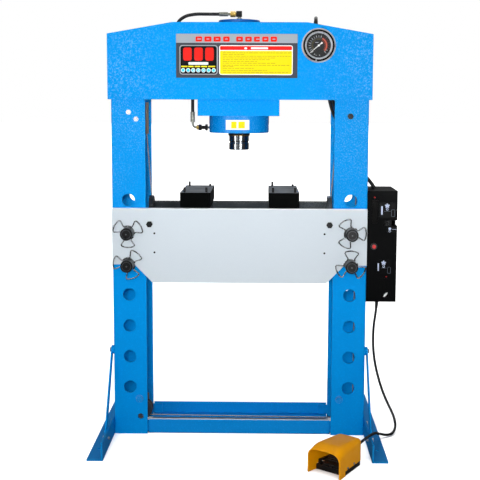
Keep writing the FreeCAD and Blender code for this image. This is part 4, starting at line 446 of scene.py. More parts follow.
# pedal guard: the bright yellow edges are a painted highlight
M["pedal_yellow"] = moulded("pedal_yellow", srgb(255, 172, 2), srgb(244, 152, 1), rough=0.38, grain=420.0, bump=0.2,
                            edge_col=srgb(255, 205, 40), edge_amount=0.5, edge_r=0.002, spec=0.18)
M["pedal_black"] = moulded("pedal_black", srgb(20, 18, 17), srgb(34, 31, 29), rough=0.4, edge_col=srgb(74, 70, 66), edge_amount=0.5)
M["treadle_paint"] = moulded("treadle_paint", srgb(22, 20, 18), srgb(38, 34, 30), rough=0.34, edge_col=srgb(90, 84, 78), edge_amount=0.5)

# twisted wire rope: the strands' lay runs round the rope
q = Mat("rope_steel")
x, y, z = q.xyz()
ang = q.math("ADD", q.math("MULTIPLY", x, 1900.0), q.math("MULTIPLY", q.math("ADD", z, y), 900.0))
lay = q.math("SINE", ang)
fine = q.noise(1600.0, 2.0, 0.6)
col = q.mix(q.span(lay, -0.6, 0.8), srgb(100, 97, 92), srgb(196, 193, 187))
q.set(Base_Color=col, Metallic=0.5, Roughness=q.span(fine, 0.3, 0.7, 0.36, 0.5), Normal=q.bump(lay, 0.3, 0.0005))
M["rope_steel"] = q.m

# hose ends: dull zinc ferrules with crimp rings, brass nuts
q = Mat("hose_ends")
here = q.n("ShaderNodeNewGeometry")
x, y, z = q.xyz(here.outputs["Position"])


def between(v, a, b):
    return q.math("MULTIPLY", q.math("GREATER_THAN", v, a), q.math("LESS_THAN", v, b))


on_top = q.math("MULTIPLY", between(x, OX - 0.0475, OX - 0.0190), q.math("GREATER_THAN", z, 1.8))
on_side = q.math("MULTIPLY", between(x, OX - 0.2040, OX - 0.1920), between(z, 1.40, 1.445))
brass = q.math("ADD", on_top, on_side, clamp=True)
crimp = q.math("SINE", q.math("MULTIPLY", q.math("ADD", x, z), 900.0))
grime = q.span(q.noise(120.0, 3.0, 0.6), 0.35, 0.7)
steel = q.mix(grime, srgb(158, 160, 150), srgb(112, 114, 106))
steel = q.mix(q.span(crimp, 0.2, 0.9, 0.0, 0.35), steel, srgb(84, 88, 80))
gold = q.mix(grime, srgb(206, 176, 96), srgb(150, 120, 52))
q.set(Base_Color=q.mix(brass, steel, gold), Metallic=0.7, Roughness=q.span(grime, 0.0, 1.0, 0.3, 0.44), Normal=q.bump(crimp, 0.1, 0.0004))
M["hose_ends"] = q.m

# clear cover
q = Mat("gauge_glass")
sm = q.noise(26.0, 3.0, 0.5)
q.set(Base_Color=(0.92, 0.95, 0.97, 1.0), Roughness=q.span(sm, 0.4, 0.7, 0.30, 0.38))
q.b.inputs["Metallic"].default_value = 0.0
q.b.inputs["Specular IOR Level"].default_value = 0.3
q.b.inputs["Alpha"].default_value = 0.01
M["gauge_glass"] = q.m

slot_of = {s["node"]: s["material_slot"] for s in frame["record"]["subparts"]}
own = {"hose_ends": "hose_ends", "lower_beams": "beam_blue", "cylinder_cap": "cap_blue_painted_shade", "cylinder_body": "collar_blue", "tie_bolts": "bolt_blue",
       "left_foot": "foot_blue_painted_shade", "right_foot": "foot_blue_painted_shade", "upper_left_clip": "clip_wire", "lower_left_clip": "clip_wire",
       "upper_right_clip": "clip_wire", "lower_right_clip": "clip_wire"}
for name, o in NODES.items():
    m_ = M[own.get(name, slot_of[name])]
    o.data.materials.clear()
    o.data.materials.append(m_)


# ---------------------------------------------------------------- mesh helpers

def add(name, bm, material, body="frame", smooth=False, bevel=0.0, segments=2, angle=30.0):
    """A mesh piece in the row frame, on one body. Its vertices are in metres already."""
    bm.normal_update()
    bmesh.ops.recalc_face_normals(bm, faces=bm.faces[:])
    me = bpy.data.meshes.new(name)
    bm.to_mesh(me)
    bm.free()
    o = bpy.data.objects.new(name, me)
    scene.collection.objects.link(o)
    me.materials.append(material)
    if smooth:
        for p in me.polygons:
            p.use_smooth = True
    if bevel:
        md = o.modifiers.new("edge", "BEVEL")
        md.width = bevel
        md.segments = segments
        md.limit_method = "ANGLE"
        md.angle_limit = math.radians(angle)
        md.harden_normals = False
    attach(o, body)
    return o


def rrect(x0, z0, x1, z1, r=0.0, n=5):
    """A rounded rectangle's outline in x and z, counter-clockwise."""
    if r <= 0:
        return [(x0, z0), (x1, z0), (x1, z1), (x0, z1)]
    pts = []
    for cx, cz, a0 in ((x1 - r, z0 + r, -90), (x1 - r, z1 - r, 0), (x0 + r, z1 - r, 90), (x0 + r, z0 + r, 180)):
        for k in range(n + 1):
            a = math.radians(a0 + 90.0 * k / n)
            pts.append((cx + r * math.cos(a), cz + r * math.sin(a)))
    return pts


def disc(x, z, r, n=20):
    return [(x + r * math.cos(2 * math.pi * k / n), z + r * math.sin(2 * math.pi * k / n)) for k in range(n)]


def slab(bm, outline, y_front, thick, hole=None):
    """A thin flat plate facing -Y: outline in press millimetres, optional hole outline of as many points."""
    def loop(pts, y):
        return [bm.verts.new(P(a, y, b)) for a, b in pts]
    f, k = loop(outline, y_front), loop(outline, y_front + thick)
    n = len(f)
    if hole is None:
        bm.faces.new(f)
        bm.faces.new(k[::-1])
    else:
        hf, hk = loop(hole, y_front), loop(hole, y_front + thick)
        for i in range(n):
            j = (i + 1) % n
            bm.faces.new((f[i], f[j], hf[j], hf[i]))
            bm.faces.new((k[j], k[i], hk[i], hk[j]))
            bm.faces.new((hf[i], hf[j], hk[j], hk[i]))
    for i in range(n):
        j = (i + 1) % n
        bm.faces.new((f[j], f[i], k[i], k[j]))


def lathe(bm, profile, centre, n=48, axis="y", closed=True):
    """Turns (radius, along) points round an axis through centre: 'y' along the press's depth, 'z' upright."""
    rings = []
    for r, t in profile:
        ring = []
        for k in range(n):
            a = 2 * math.pi * k / n
            c, s = r * math.cos(a), r * math.sin(a)
            p = (centre[0] + c, centre[1] + t, centre[2] + s) if axis == "y" else (centre[0] + c, centre[1] + s, centre[2] + t)
            ring.append(bm.verts.new(P(*p)))
        rings.append(ring)
    m_ = len(rings)
    for a in range(m_ if closed else m_ - 1):
        b = (a + 1) % m_
        for k in range(n):
            j = (k + 1) % n
            bm.faces.new((rings[a][k], rings[a][j], rings[b][j], rings[b][k]))
    return rings


# ---------------------------------------------------------------- pedal cord

route = [(645, 0, 631), (645, 0, 590), (640, -1, 545), (633, -2, 495), (630.5, -4, 440), (632, -6, 385),
         (638, -9, 330), (649, -13, 276), (663, -18, 224), (680, -25, 174), (700, -34, 128), (718, -47, 93),
         (730, -63, 64), (734, -86, 37.5), (725.5, -114, 18), (706, -142, 10.5), (676, -161, 14), (652.5, -183, 26.5),
         (640, -211, 37), (633, -244, 48), (629, -278, 60), (626, -312, 73), (621, -346, 86), (606.5, -373, 98.5),
         (587.5, -397, 100), (565.5, -414.5, 93.5), (542.5, -425.5, 79), (522.6, -444.3, 70), (504.6, -468.2, 70)]
cu = bpy.data.curves.new("cord", "CURVE")
cu.dimensions = "3D"
cu.bevel_depth = 0.006
cu.bevel_resolution = 5
cu.resolution_u = 10
cu.use_fill_caps = True
sp = cu.splines.new("NURBS")
sp.points.add(len(route) - 1)
for pt, r in zip(sp.points, route):
    pt.co = (*P(*r), 1.0)
sp.order_u = 3
sp.use_endpoint_u = True
cord = bpy.data.objects.new("pedal_lead", cu)
scene.collection.objects.link(cord)
cu.materials.append(M["cord_black"])
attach(cord, "frame")
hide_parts("pedal_cord")

# the gland's rubber sleeve follows the cord's first bend
bm = bmesh.new()
rings = []
for k in range(19):
    t = 0.13 + 0.66 * k / 18
    a, b, c = (1 - t) ** 2, 2 * t * (1 - t), t * t
    cx_, cy_, cz_ = a * 645 + b * 645 + c * 642.5, -0.5 * c, a * 610.5 + b * 590 + c * 567.5
    ro = 8.3 - 1.5 * k / 18 - (0.7 if (k % 3 == 2 and k < 18) else 0.0)
    outer = [bm.verts.new(P(cx_ + ro * math.cos(g), cy_ + ro * math.sin(g), cz_)) for g in [2 * math.pi * i / 24 for i in range(24)]]
    inner = [bm.verts.new(P(cx_ + 6.05 * math.cos(g), cy_ + 6.05 * math.sin(g), cz_)) for g in [2 * math.pi * i / 24 for i in range(24)]]
    rings.append((outer, inner))
for (o0, i0), (o1, i1) in zip(rings, rings[1:]):
    for i in range(24):
        j = (i + 1) % 24
        bm.faces.new((o0[i], o0[j], o1[j], o1[i]))
        bm.faces.new((i0[j], i0[i], i1[i], i1[j]))
for o0, i0 in (rings[0], rings[-1]):
    for i in range(24):
        j = (i + 1) % 24
        bm.faces.new((o0[i], o0[j], i0[j], i0[i]))
sleeve = add("cord_sleeve", bm, M["cord_black"], smooth=True)


# ---------------------------------------------------------------- printed plates

INK = {
    "red": printed("ink_red", srgb(226, 30, 20), srgb(204, 26, 18)),
    "white": printed("ink_white", srgb(236, 238, 238), srgb(214, 217, 218)),
    "yellow": printed("ink_yellow", srgb(226, 212, 10), srgb(212, 198, 14)),
    "text": printed("ink_text", srgb(178, 150, 24), srgb(160, 134, 30)),
    "cyan": printed("ink_cyan", srgb(70, 205, 226), srgb(60, 180, 204)),
    "black": printed("ink_black", srgb(10, 10, 12), srgb(18, 18, 20), rough=0.3),
    "silver": printed("ink_silver", srgb(152, 160, 168), srgb(138, 146, 155), rough=0.4),
    "line": printed("ink_line", srgb(150, 154, 160), srgb(136, 140, 146)),
    "pale": printed("ink_pale", srgb(186, 198, 224), srgb(160, 172, 198)),
    "slate": printed("ink_slate", srgb(70, 78, 88), srgb(60, 66, 74)),
    "film": printed("ink_film", srgb(2, 3, 3), srgb(5, 6, 7), rough=0.3, spec=0.06),
    "signal": printed("ink_signal", srgb(150, 16, 14), srgb(120, 14, 12)),
}


def print_on(name, ink, shapes, y, thick=0.3):
    bm = bmesh.new()
    for sh_ in shapes:
        if isinstance(sh_, tuple) and isinstance(sh_[0], list):
            slab(bm, sh_[0], y, thick, sh_[1])
        else:
            slab(bm, sh_, y, thick)
    return add(name, bm, INK[ink])


def frame_of(x0, z0, x1, z1, r, w):
    return (rrect(x0, z0, x1, z1, r), rrect(x0 + w, z0 + w, x1 - w, z1 - w, max(r - w, 0.6)))


# the sheet plate on the head: a header band, a dark square with plain shapes, a yellow notice panel
YL = -149.5
print_on("plate_header", "silver", [rrect(-283.4, 1801.0, 255.4, 1840.4, 1.2)], YL - 0.25)
print_on("plate_blocks", "red", [rrect(a, 1806.5, b, 1829.0, 5.0) for a, b in (
    (-197.0, -167.6), (-157.9, -125.9), (-117.1, -85.1), (-74.5, -45.2), (-16.8, 13.7), (23.1, 53.2), (62.1, 89.1),
    (98.9, 127.2), (136.2, 164.4))], YL - 0.45)
print_on("plate_block_slits", "silver", [rrect(a, 1815.8, b, 1819.6, 1.2) for a, b in (
    (-189.0, -172.0), (-148.0, -136.0), (-107.0, -95.0), (-66.0, -54.0), (-8.0, 4.0), (32.0, 43.0), (72.0, 89.0),
    (107.0, 120.0), (144.0, 157.0))], YL - 0.6)
print_on("plate_square_line", "line", [rrect(-268.6, 1661.0, -98.4, 1791.2, 13.0)], YL - 0.25)
print_on("plate_square", "black", [rrect(-264.4, 1665.2, -102.6, 1787.0, 10.0)], YL - 0.42)
print_on("plate_square_shapes", "red", [rrect(a, 1723.0, a + 38.0, 1780.0, 9.0, 6) for a in (-252.0, -203.0, -154.0)], YL - 0.58)
print_on("plate_square_strip", "white", [rrect(-229.0, 1704.6, -140.5, 1716.4, 3.0)], YL - 0.58)
print_on("plate_square_dashes", "yellow", [rrect(a, 1694.2, b, 1700.2, 1.0) for a, b in (
    (-261.0, -233.0), (-229.5, -206.0), (-201.0, -176.0), (-172.0, -146.0), (-141.0, -110.0))], YL - 0.58)
dots = (-252.6, -229.8, -207.6, -184.8, -161.7, -138.9, -116.2)
print_on("plate_dots_rim", "white", [disc(x_, 1680.3, 9.4, 24) for x_ in dots], YL - 0.58)
print_on("plate_dots", "cyan", [disc(x_, 1680.3, 6.9, 24) for x_ in dots], YL - 0.7)
print_on("plate_dots_eye", "white", [disc(x_ + 1.0, 1680.8, 2.4, 12) for x_ in dots[2:5]], YL - 0.8)
print_on("plate_panel_line", "white", [rrect(-92.0, 1660.4, 235.0, 1791.0, 10.0)], YL - 0.25)
print_on("plate_panel", "yellow", [rrect(-88.4, 1663.8, 231.4, 1766.6, 5.0)], YL - 0.42)
print_on("plate_panel_band", "red", [rrect(-88.4, 1769.6, 231.4, 1787.4, 5.0)], YL - 0.42)
print_on("plate_panel_bar", "white", [rrect(49.4, 1774.0, 124.8, 1782.0, 2.0), rrect(20.0, 1773.4, 32.0, 1781.4, 3.0)], YL - 0.58)
rnd = random.Random(11)
words = []
for z_, end in ((1757.6, 226.0), (1750.1, 20.0), (1742.7, 226.0), (1735.2, 164.0), (1727.7, 134.0), (1719.4, 78.0), (1711.9, 163.0),
                (1702.7, 226.0), (1697.4, -24.0), (1689.4, 62.0), (1679.7, 122.0), (1671.4, 214.0)):
    x_ = -76.0
    while x_ < end - 4.0:
        w_ = min(rnd.uniform(7.0, 22.0), end - x_)
        words.append(rrect(x_, z_ - 1.15, x_ + w_, z_ + 1.15, 0.5, 2))
        x_ += w_ + rnd.uniform(2.4, 4.2)
print_on("plate_panel_rows", "text", words, YL - 0.55, 0.2)

# the curved label on the collar, two plain yellow fields on white
def wrap_label(name, ink, x0, x1, z0, z1, r_out, n=14):
    bm = bmesh.new()
    g0, g1 = math.asin((x0 + 6.0) / 138.0), math.asin((x1 + 6.0) / 138.0)
    cols = []
    for k in range(n + 1):
        g = g0 + (g1 - g0) * k / n
        col = []
        for r_, z_ in ((r_out, z0), (r_out, z1), (r_out - 0.35, z1), (r_out - 0.35, z0)):
            col.append(bm.verts.new(P(-6.0 + r_ * math.sin(g), -r_ * math.cos(g), z_)))
        cols.append(col)
    for a, b in zip(cols, cols[1:]):
        for i in range(4):
            j = (i + 1) % 4
            bm.faces.new((a[i], b[i], b[j], a[j]))
    bm.faces.new(cols[0])
    bm.faces.new(cols[-1][::-1])
    return add(name, bm, INK[ink])


wrap_label("collar_label", "white", -63.0, 43.0, 1416.0, 1460.0, 138.3)
wrap_label("collar_label_left", "yellow", -38.0, -14.0, 1423.0, 1453.0, 138.5)
wrap_label("collar_label_right", "yellow", -6.0, 23.0, 1423.0, 1453.0, 138.5)

# near-black discs: painted shade for the depth of tapped holes
HOLE_SHADE_DISC = moulded("hole_shade", srgb(8, 8, 9), srgb(14, 14, 15), rough=0.6, spec=0.1)
PIN_FACE_HIGHLIGHT = metal("pin_face_highlight", srgb(92, 95, 98), srgb(52, 54, 56), rough=0.34, metallic=0.4)

# plates on the power pack's front
YP = -130.0
print_on("pack_plate_upper", "film", [rrect(634.0, 1021.0, 709.0, 1090.0, 2.5)], YP - 0.3)
print_on("pack_plate_lower", "film", [rrect(626.0, 762.0, 692.0, 828.7, 2.5)], YP - 0.3)
print_on("pack_plate_small", "film", [rrect(669.0, 953.6, 715.0, 979.5, 2.0)], YP - 0.3)
print_on("pack_plate_foot", "film", [rrect(640.0, 682.0, 681.4, 741.7, 2.0)], YP - 0.3)
lobes = []
for x_, z_ in ((669.4, 1075.5), (657.7, 813.2)):
    lobes.append(disc(x_, z_, 7.0, 18))
    for k in range(5):
        g = math.radians(90 + 72 * k)
        lobes.append(disc(x_ + 7.4 * math.cos(g), z_ + 7.0 * math.sin(g), 3.6, 12))
print_on("pack_marks", "pale", lobes[:1] + lobes[6:7] + [rrect(642.1, 1035.4, 649.0, 1073.7, 1.5), rrect(630.6, 776.6, 636.6, 811.7, 1.5),
         disc(682.7, 971.0, 6.2, 18), rrect(693.0, 967.2, 713.0, 969.2, 0.6)], YP - 0.5)
print_on("pack_marks_lobes", "pale", lobes[1:6] + lobes[7:], YP - 0.55, 0.2)
print_on("pack_marks_rings", "pale", [(disc(x_, z_, 5.4, 20), disc(x_, z_, 3.4, 20)) for x_, z_ in (
    (669.6, 1059.7), (658.0, 797.5), (682.2, 959.9))], YP - 0.5)
print_on("pack_marks_faint", "slate", [rrect(655.0, 1049.6, 686.0, 1051.4, 0.5), rrect(645.0, 789.0, 672.0, 790.6, 0.5)], YP - 0.5)
print_on("pack_marks_frames", "slate", [frame_of(688.0, 1025.5, 704.5, 1058.5, 4.0, 2.0), frame_of(675.0, 765.0, 690.0, 795.0, 4.0, 1.6)], YP - 0.5)
print_on("pack_red_mark", "signal", [disc(612.3, 1113.0, 3.6, 18)], YP - 0.6)
print_on("pack_red_tick", "signal", [rrect(668.0, 747.5, 674.0, 752.0, 1.0)], YP - 0.4)

# a small white slanted shape at the hand slot: a painted highlight
print_on("pack_slot_highlight", "white", [[(658.0, 656.5), (666.5, 658.0), (675.5, 666.5), (678.0, 676.0), (668.5, 674.0), (663.0, 665.5)]], YP - 0.5)

# dark discs on the bed's front plate at its tapped holes: painted shade for the holes' depth
bm = bmesh.new()
for x_ in (-385.5, 385.5):
    for z_ in (947.4, 860.0):
        slab(bm, disc(x_, z_, 4.6, 24), -155.4, 0.5)
add("bed_hole_shade_discs", bm, HOLE_SHADE_DISC)

# turned faces of the bed pins: a pale ring that is a painted highlight, and a centre-drill mark drawn pale as a painted
# highlight
for side_, name_ in ((-1, "left"), (1, "right")):
    for z_, row in ((950.5, "upper"), (805.3, "lower")):
        bm = bmesh.new()
        lathe(bm, [(19.0, -225.25), (20.6, -225.25), (20.6, -224.8), (19.0, -224.8)], (505.0 * side_, 0.0, z_), 48)
        slab(bm, disc(505.0 * side_, z_, 3.4, 20), -225.4, 0.5)
        add("%s_%s_pin_face" % (row, name_), bm, PIN_FACE_HIGHLIGHT, body="%s_%s_pin_body" % (row, name_))

# ---------------------------------------------------------------- pressure gauge

GX, GZ = 349.5, 1790.7
DARK = moulded("bezel_black", srgb(6, 6, 7), srgb(12, 12, 13), rough=0.3, edge_col=srgb(34, 34, 36), spec=0.15)
RING = metal("dial_ring", srgb(196, 202, 210), srgb(150, 156, 164), rough=0.28, metallic=0.35, scratch=(120.0, 900.0, 120.0), bump=0.02)
bm = bmesh.new()
lathe(bm, [(70.2, -161.9), (69.6, -163.6), (64.4, -165.5), (62.4, -165.2), (61.2, -163.6), (61.2, -162.0), (64.0, -162.0)],
      (GX, 0.0, GZ), 72)
add("gauge_bezel", bm, DARK, smooth=True)
bm = bmesh.new()
lathe(bm, [(60.3, -152.6), (60.3, -157.4), (59.0, -157.4), (54.0, -154.4), (54.0, -152.6)], (GX, 0.0, GZ), 72)
add("gauge_reflector", bm, RING)
bm = bmesh.new()
lathe(bm, [(0.01, -167.6), (2.2, -167.6), (3.2, -166.8), (3.2, -163.5), (0.01, -163.5)], (GX - 11.5, 0.0, GZ - 65.2), 20)
add("gauge_screw", bm, M["zinc"], smooth=True)


def on_dial(name, ink, shapes, y=-152.75, thick=0.4):
    bm = bmesh.new()
    for sh_ in shapes:
        slab(bm, sh_, y, thick)
    return add(name, bm, ink)


def ray_bar(deg, r0, r1, w):
    g = math.radians(deg)
    dx, dz = math.sin(g), math.cos(g)
    nx, nz = dz, -dx
    return [(GX + dx * r0 - nx * w / 2, GZ + dz * r0 - nz * w / 2), (GX + dx * r0 + nx * w / 2, GZ + dz * r0 + nz * w / 2),
            (GX + dx * r1 + nx * w / 2, GZ + dz * r1 + nz * w / 2), (GX + dx * r1 - nx * w / 2, GZ + dz * r1 - nz * w / 2)]


def arc_band(d0, d1, r0, r1, n):
    out = []
    for k in range(n + 1):
        g = math.radians(d0 + (d1 - d0) * k / n)
        out.append((GX + r1 * math.sin(g), GZ + r1 * math.cos(g)))
    for k in range(n, -1, -1):
        g = math.radians(d0 + (d1 - d0) * k / n)
        out.append((GX + r0 * math.sin(g), GZ + r0 * math.cos(g)))
    return out


D_WHITE = printed("dial_white", srgb(176, 182, 184), srgb(160, 166, 168))
D_DIM = printed("dial_dim", srgb(84, 88, 90), srgb(74, 78, 80))
D_OLIVE = printed("dial_olive", srgb(92, 84, 34), srgb(76, 70, 28))
D_RED = printed("dial_red", srgb(188, 84, 62), srgb(170, 66, 46))
D_DEEP = printed("dial_deep", srgb(112, 38, 10), srgb(96, 30, 8))
D_TICK_RED = printed("dial_tick_red", srgb(110, 26, 22), srgb(92, 22, 18))
ticks, small = [], []
for k in range(19):
    a_ = -135.0 + 15.0 * k
    ticks.append(ray_bar(a_, 36.0, 44.6, 2.3 if k % 2 == 0 else 1.5))
for k in range(91):
    a_ = -135.0 + 3.0 * k
    if k % 5:
        small.append(ray_bar(a_, 33.4, 35.8, 0.7))
on_dial("dial_ticks", D_WHITE, [t for k, t in enumerate(ticks) if k < 11] + [ticks[17], ticks[18]])
on_dial("dial_ticks_high", D_TICK_RED, ticks[11:17])
on_dial("dial_fine", D_DIM, small[:44])
for k in range(4):
    on_dial("dial_scale_%d" % k, D_DIM, [arc_band(-135.0 + 40.0 * k, -95.0 + 40.0 * k, 32.8, 33.5, 14)])
    on_dial("dial_inner_%d" % k, D_OLIVE, [arc_band(-135.0 + 40.0 * k, -95.0 + 40.0 * k, 29.4, 30.6, 14)])
for k in range(3):
    on_dial("dial_arc_%d" % k, D_RED, [arc_band(27.0 + 35.0 * k, 62.0 + 35.0 * k, 31.8, 37.6, 14)], -152.85, 0.5)
    on_dial("dial_arc_deep_%d" % k, D_DEEP, [arc_band(27.0 + 35.0 * k, 62.0 + 35.0 * k, 26.4, 30.2, 14)], -152.8, 0.45)
on_dial("dial_inner_marks", D_OLIVE, [ray_bar(-135.0 + 12.0 * k, 24.6, 28.2, 1.6) for k in range(14)])
on_dial("dial_bars", D_WHITE, [rrect(GX - 16.0, GZ + 12.0, GX - 1.5, GZ + 14.2, 0.8), rrect(GX - 20.0, GZ - 40.0, GX - 16.0, GZ - 36.5, 1.0),
                               rrect(GX - 12.5, GZ - 44.0, GX - 9.5, GZ - 41.5, 1.0), rrect(GX + 1.5, GZ - 44.0, GX + 5.5, GZ - 41.0, 1.0)])
for k in range(0, 19, 2):
    fc = bpy.data.curves.new("numeral_%d" % k, "FONT")
    fc.body = str(5 * k)
    fc.size = 0.0064
    fc.align_x = "CENTER"
    fc.align_y = "CENTER"
    fc.extrude = 0.0001
    fo = bpy.data.objects.new("numeral_curve_%d" % k, fc)
    scene.collection.objects.link(fo)
    dg = bpy.context.evaluated_depsgraph_get()
    nm = bpy.data.meshes.new_from_object(fo.evaluated_get(dg))
    bpy.data.objects.remove(fo)
    g = math.radians(-135.0 + 15.0 * k)
    nm.transform(Matrix.Translation(P(GX + 49.0 * math.sin(g), -152.6, GZ + 49.0 * math.cos(g))) @ Matrix.Rotation(math.radians(90), 4, "X"))
    no = bpy.data.objects.new("dial_numeral_%d" % k, nm)
    scene.collection.objects.link(no)
    nm.materials.clear()
    nm.materials.append(D_DIM)
    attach(no, "frame")

# ---------------------------------------------------------------- cylinder trim

bm = bmesh.new()
lathe(bm, [(46.4, 1385.0), (49.6, 1385.0), (50.5, 1386.0), (50.5, 1387.8), (46.4, 1387.8)], (-6.0, 0.0, 0.0), 72, axis="z")
add("wiper_brass", bm, M["bronze"], smooth=False, bevel=0.0002)

# ---------------------------------------------------------------- pedal guard

PC, PS = math.cos(math.radians(-37.0)), math.sin(math.radians(-37.0))


def ped(u, v, w):
    return P(362.0 + PC * u - PS * v, -627.5 + PS * u + PC * v, w)


def ease(v, pts):
    for (a, p_), (b, r_) in zip(pts, pts[1:]):
        if v <= b:
            t = (v - a) / (b - a) if b > a else 0.0
            return p_ + (r_ - p_) * t
    return pts[-1][1]


def section(v, inset, low):
    """Half a tunnel: up the left side, over the rounded shoulders, down the right side."""
    h = 79.0 - 22.0 * v / 205.0 - inset
    if v > 185.0:
        h -= 2.2 * ((v - 185.0) / 20.0) ** 2
    top = ease(v, ((-10.0, 104.0), (0.0, 106.5), (14.0, 114.0), (30.0, 120.5), (46.0, 123.6), (70.0, 124.0), (130.0, 122.0), (190.0, 119.0), (205.0, 115.5))) - inset
    rl = ease(v, ((-10.0, 34.0), (0.0, 34.0), (46.0, 30.0), (120.0, 24.0), (205.0, 15.0))) - inset
    rr = ease(v, ((-10.0, 40.0), (0.0, 40.0), (46.0, 36.0), (120.0, 26.0), (205.0, 15.0))) - inset
    pts = []
    for k in range(6):
        pts.append((-h, low + (top - rl - low) * k / 6.0))
    for k in range(11):
        g = math.radians(180.0 - 9.0 * k)
        pts.append((-h + rl + rl * math.cos(g), top - rl + rl * math.sin(g)))
    for k in range(1, 8):
        t = k / 8.0
        x_ = (-h + rl) + (h - rr - (-h + rl)) * t
        pts.append((x_, top + 1.0 * math.sin(math.pi * t)))
    for k in range(11):
        g = math.radians(90.0 - 9.0 * k)
        pts.append((h - rr + rr * math.cos(g), top - rr + rr * math.sin(g)))
    for k in range(6, 0, -1):
        pts.append((h, low + (top - rr - low) * (k - 1) / 6.0))
    return pts


vs_ = [0.0, 3.0, 8.0, 14.0, 22.0, 30.0, 38.0, 46.0, 51.6, 52.4, 62.0, 80.0, 100.0, 122.0, 145.0, 165.0, 180.0, 190.0, 197.0, 202.0]
bm = bmesh.new()


def low_at(v):
    return 0.0 if v < 52.0 else 22.0


out_r = [[bm.verts.new(ped(u, v, w)) for u, w in section(v, 0.0, low_at(v))] for v in vs_]
in_r = [[bm.verts.new(ped(u, v, w)) for u, w in section(v, 3.0, low_at(v))] for v in vs_]
nn = len(out_r[0])
for a in range(len(vs_) - 1):
    for i in range(nn - 1):
        bm.faces.new((out_r[a][i], out_r[a][i + 1], out_r[a + 1][i + 1], out_r[a + 1][i]))
        bm.faces.new((in_r[a][i + 1], in_r[a][i], in_r[a + 1][i], in_r[a + 1][i + 1]))
    for i in (0, nn - 1):
        bm.faces.new((out_r[a][i], out_r[a + 1][i], in_r[a + 1][i], in_r[a][i]))
for i in range(nn - 1):
    bm.faces.new((out_r[0][i], in_r[0][i], in_r[0][i + 1], out_r[0][i + 1]))
# back wall with a rounded edge, and the hole for the cord's bush
back_o = []
for v, ins in ((203.6, 0.8), (204.7, 2.4), (205.0, 4.6)):
    ring = [bm.verts.new(ped(u, v, w)) for u, w in section(202.0, ins, 22.0)]
    back_o.append(ring)
chain = [out_r[-1]] + back_o
for a, b in zip(chain, chain[1:]):
    for i in range(nn - 1):
        bm.faces.new((a[i], a[i + 1], b[i + 1], b[i]))
HU, HW = 18.0, 70.0


def hole_ring(v, ref):
    """A circle round the bush, its points in the directions of the outline's points."""
    out = []
    for u, w in ref:
        g = math.atan2(w - HW, u - HU)
        out.append(bm.verts.new(ped(HU + 9.4 * math.cos(g), v, HW + 9.4 * math.sin(g))))
    return out


ref = section(202.0, 4.6, 22.0)
hr_o, hr_i = hole_ring(205.0, ref), hole_ring(202.0, ref)
last = back_o[-1]
inner_last = in_r[-1]
for i in range(nn):
    j = (i + 1) % nn
    bm.faces.new((last[i], last[j], hr_o[j], hr_o[i]))
    bm.faces.new((inner_last[j], inner_last[i], hr_i[i], hr_i[j]))
    bm.faces.new((hr_o[i], hr_o[j], hr_i[j], hr_i[i]))
bm.faces.new([out_r[-1][0]] + [r_[0] for r_ in back_o] + [r_[-1] for r_ in back_o[::-1]] + [out_r[-1][-1], in_r[-1][-1], in_r[-1][0]])
guard = add("pedal_guard_shell", bm, M["pedal_yellow"], smooth=True)
guard.data.set_sharp_from_angle(angle=math.radians(40))
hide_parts("pedal_guard")

# the rolled lip round the mouth
bm = bmesh.new()
path = section(1.0, 1.4, 3.2)
rings = []
for i, (u, w) in enumerate(path):
    a, b = path[max(i - 1, 0)], path[min(i + 1, len(path) - 1)]
    tx, tw = b[0] - a[0], b[1] - a[1]
    L_ = math.hypot(tx, tw) or 1.0
    nx, nw = -tw / L_, tx / L_
    rings.append([bm.verts.new(ped(u + nx * 3.2 * math.cos(g), 1.2 + 3.4 * math.sin(g), w + nw * 3.2 * math.cos(g)))
                  for g in [2 * math.pi * k / 12 for k in range(12)]])
for a, b in zip(rings, rings[1:]):
    for k in range(12):
        j = (k + 1) % 12
        bm.faces.new((a[k], a[j], b[j], b[k]))
bm.faces.new(rings[0])
bm.faces.new(rings[-1][::-1])
add("pedal_guard_lip", bm, M["pedal_yellow"], smooth=True)

# ribs across the treadle's tread
bm = bmesh.new()
for k in range(9):
    t = 0.06 + 0.1 * k
    v0, w0 = 72.0 + 104.0 * t, 39.0 + 47.0 * t
    half = 37.0 - 8.0 * t
    c8 = []
    for u in (-half, half):
        for dv, dw in ((-1.6, -0.8), (1.6, 0.6), (1.2, 2.6), (-1.0, 1.8)):
            c8.append(bm.verts.new(ped(u, v0 + dv, w0 + dw)))
    bm.faces.new(c8[0:4])
    bm.faces.new(c8[7:3:-1])
    for i in range(4):
        j = (i + 1) % 4
        bm.faces.new((c8[i], c8[i + 4], c8[j + 4], c8[j]))
add("treadle_ribs", bm, M["treadle_paint"], body="treadle", bevel=0.0004)


# ---------------------------------------------------------------- floor and light

bm = bmesh.new()
s = 60.0
vs = [bm.verts.new((a, b, 0.0)) for a, b in ((-s, -s), (s, -s), (s, s), (-s, s))]
bm.faces.new(vs)
me = bpy.data.meshes.new("floor")
bm.to_mesh(me)
bm.free()
floor = bpy.data.objects.new("floor", me)
scene.collection.objects.link(floor)
q = Mat("floor")
g = q.noise(6.0, 3.0, 0.5)
q.set(Base_Color=q.mix(q.span(g, 0.3, 0.7), (0.90, 0.90, 0.90, 1.0), (0.885, 0.885, 0.885, 1.0)), Roughness=0.8)
q.b.inputs["Specular IOR Level"].default_value = 0.0
dim = q.n("ShaderNodeBsdfDiffuse")
dim.inputs[0].default_value = (0.20, 0.205, 0.21, 1.0)
lp = q.n("ShaderNodeLightPath")
dark = q.n("ShaderNodeBsdfDiffuse")
dark.inputs[0].default_value = (0.04, 0.042, 0.045, 1.0)
mixg = q.n("ShaderNodeMixShader")
q.t.links.new(lp.outputs["Is Glossy Ray"], mixg.inputs[0])
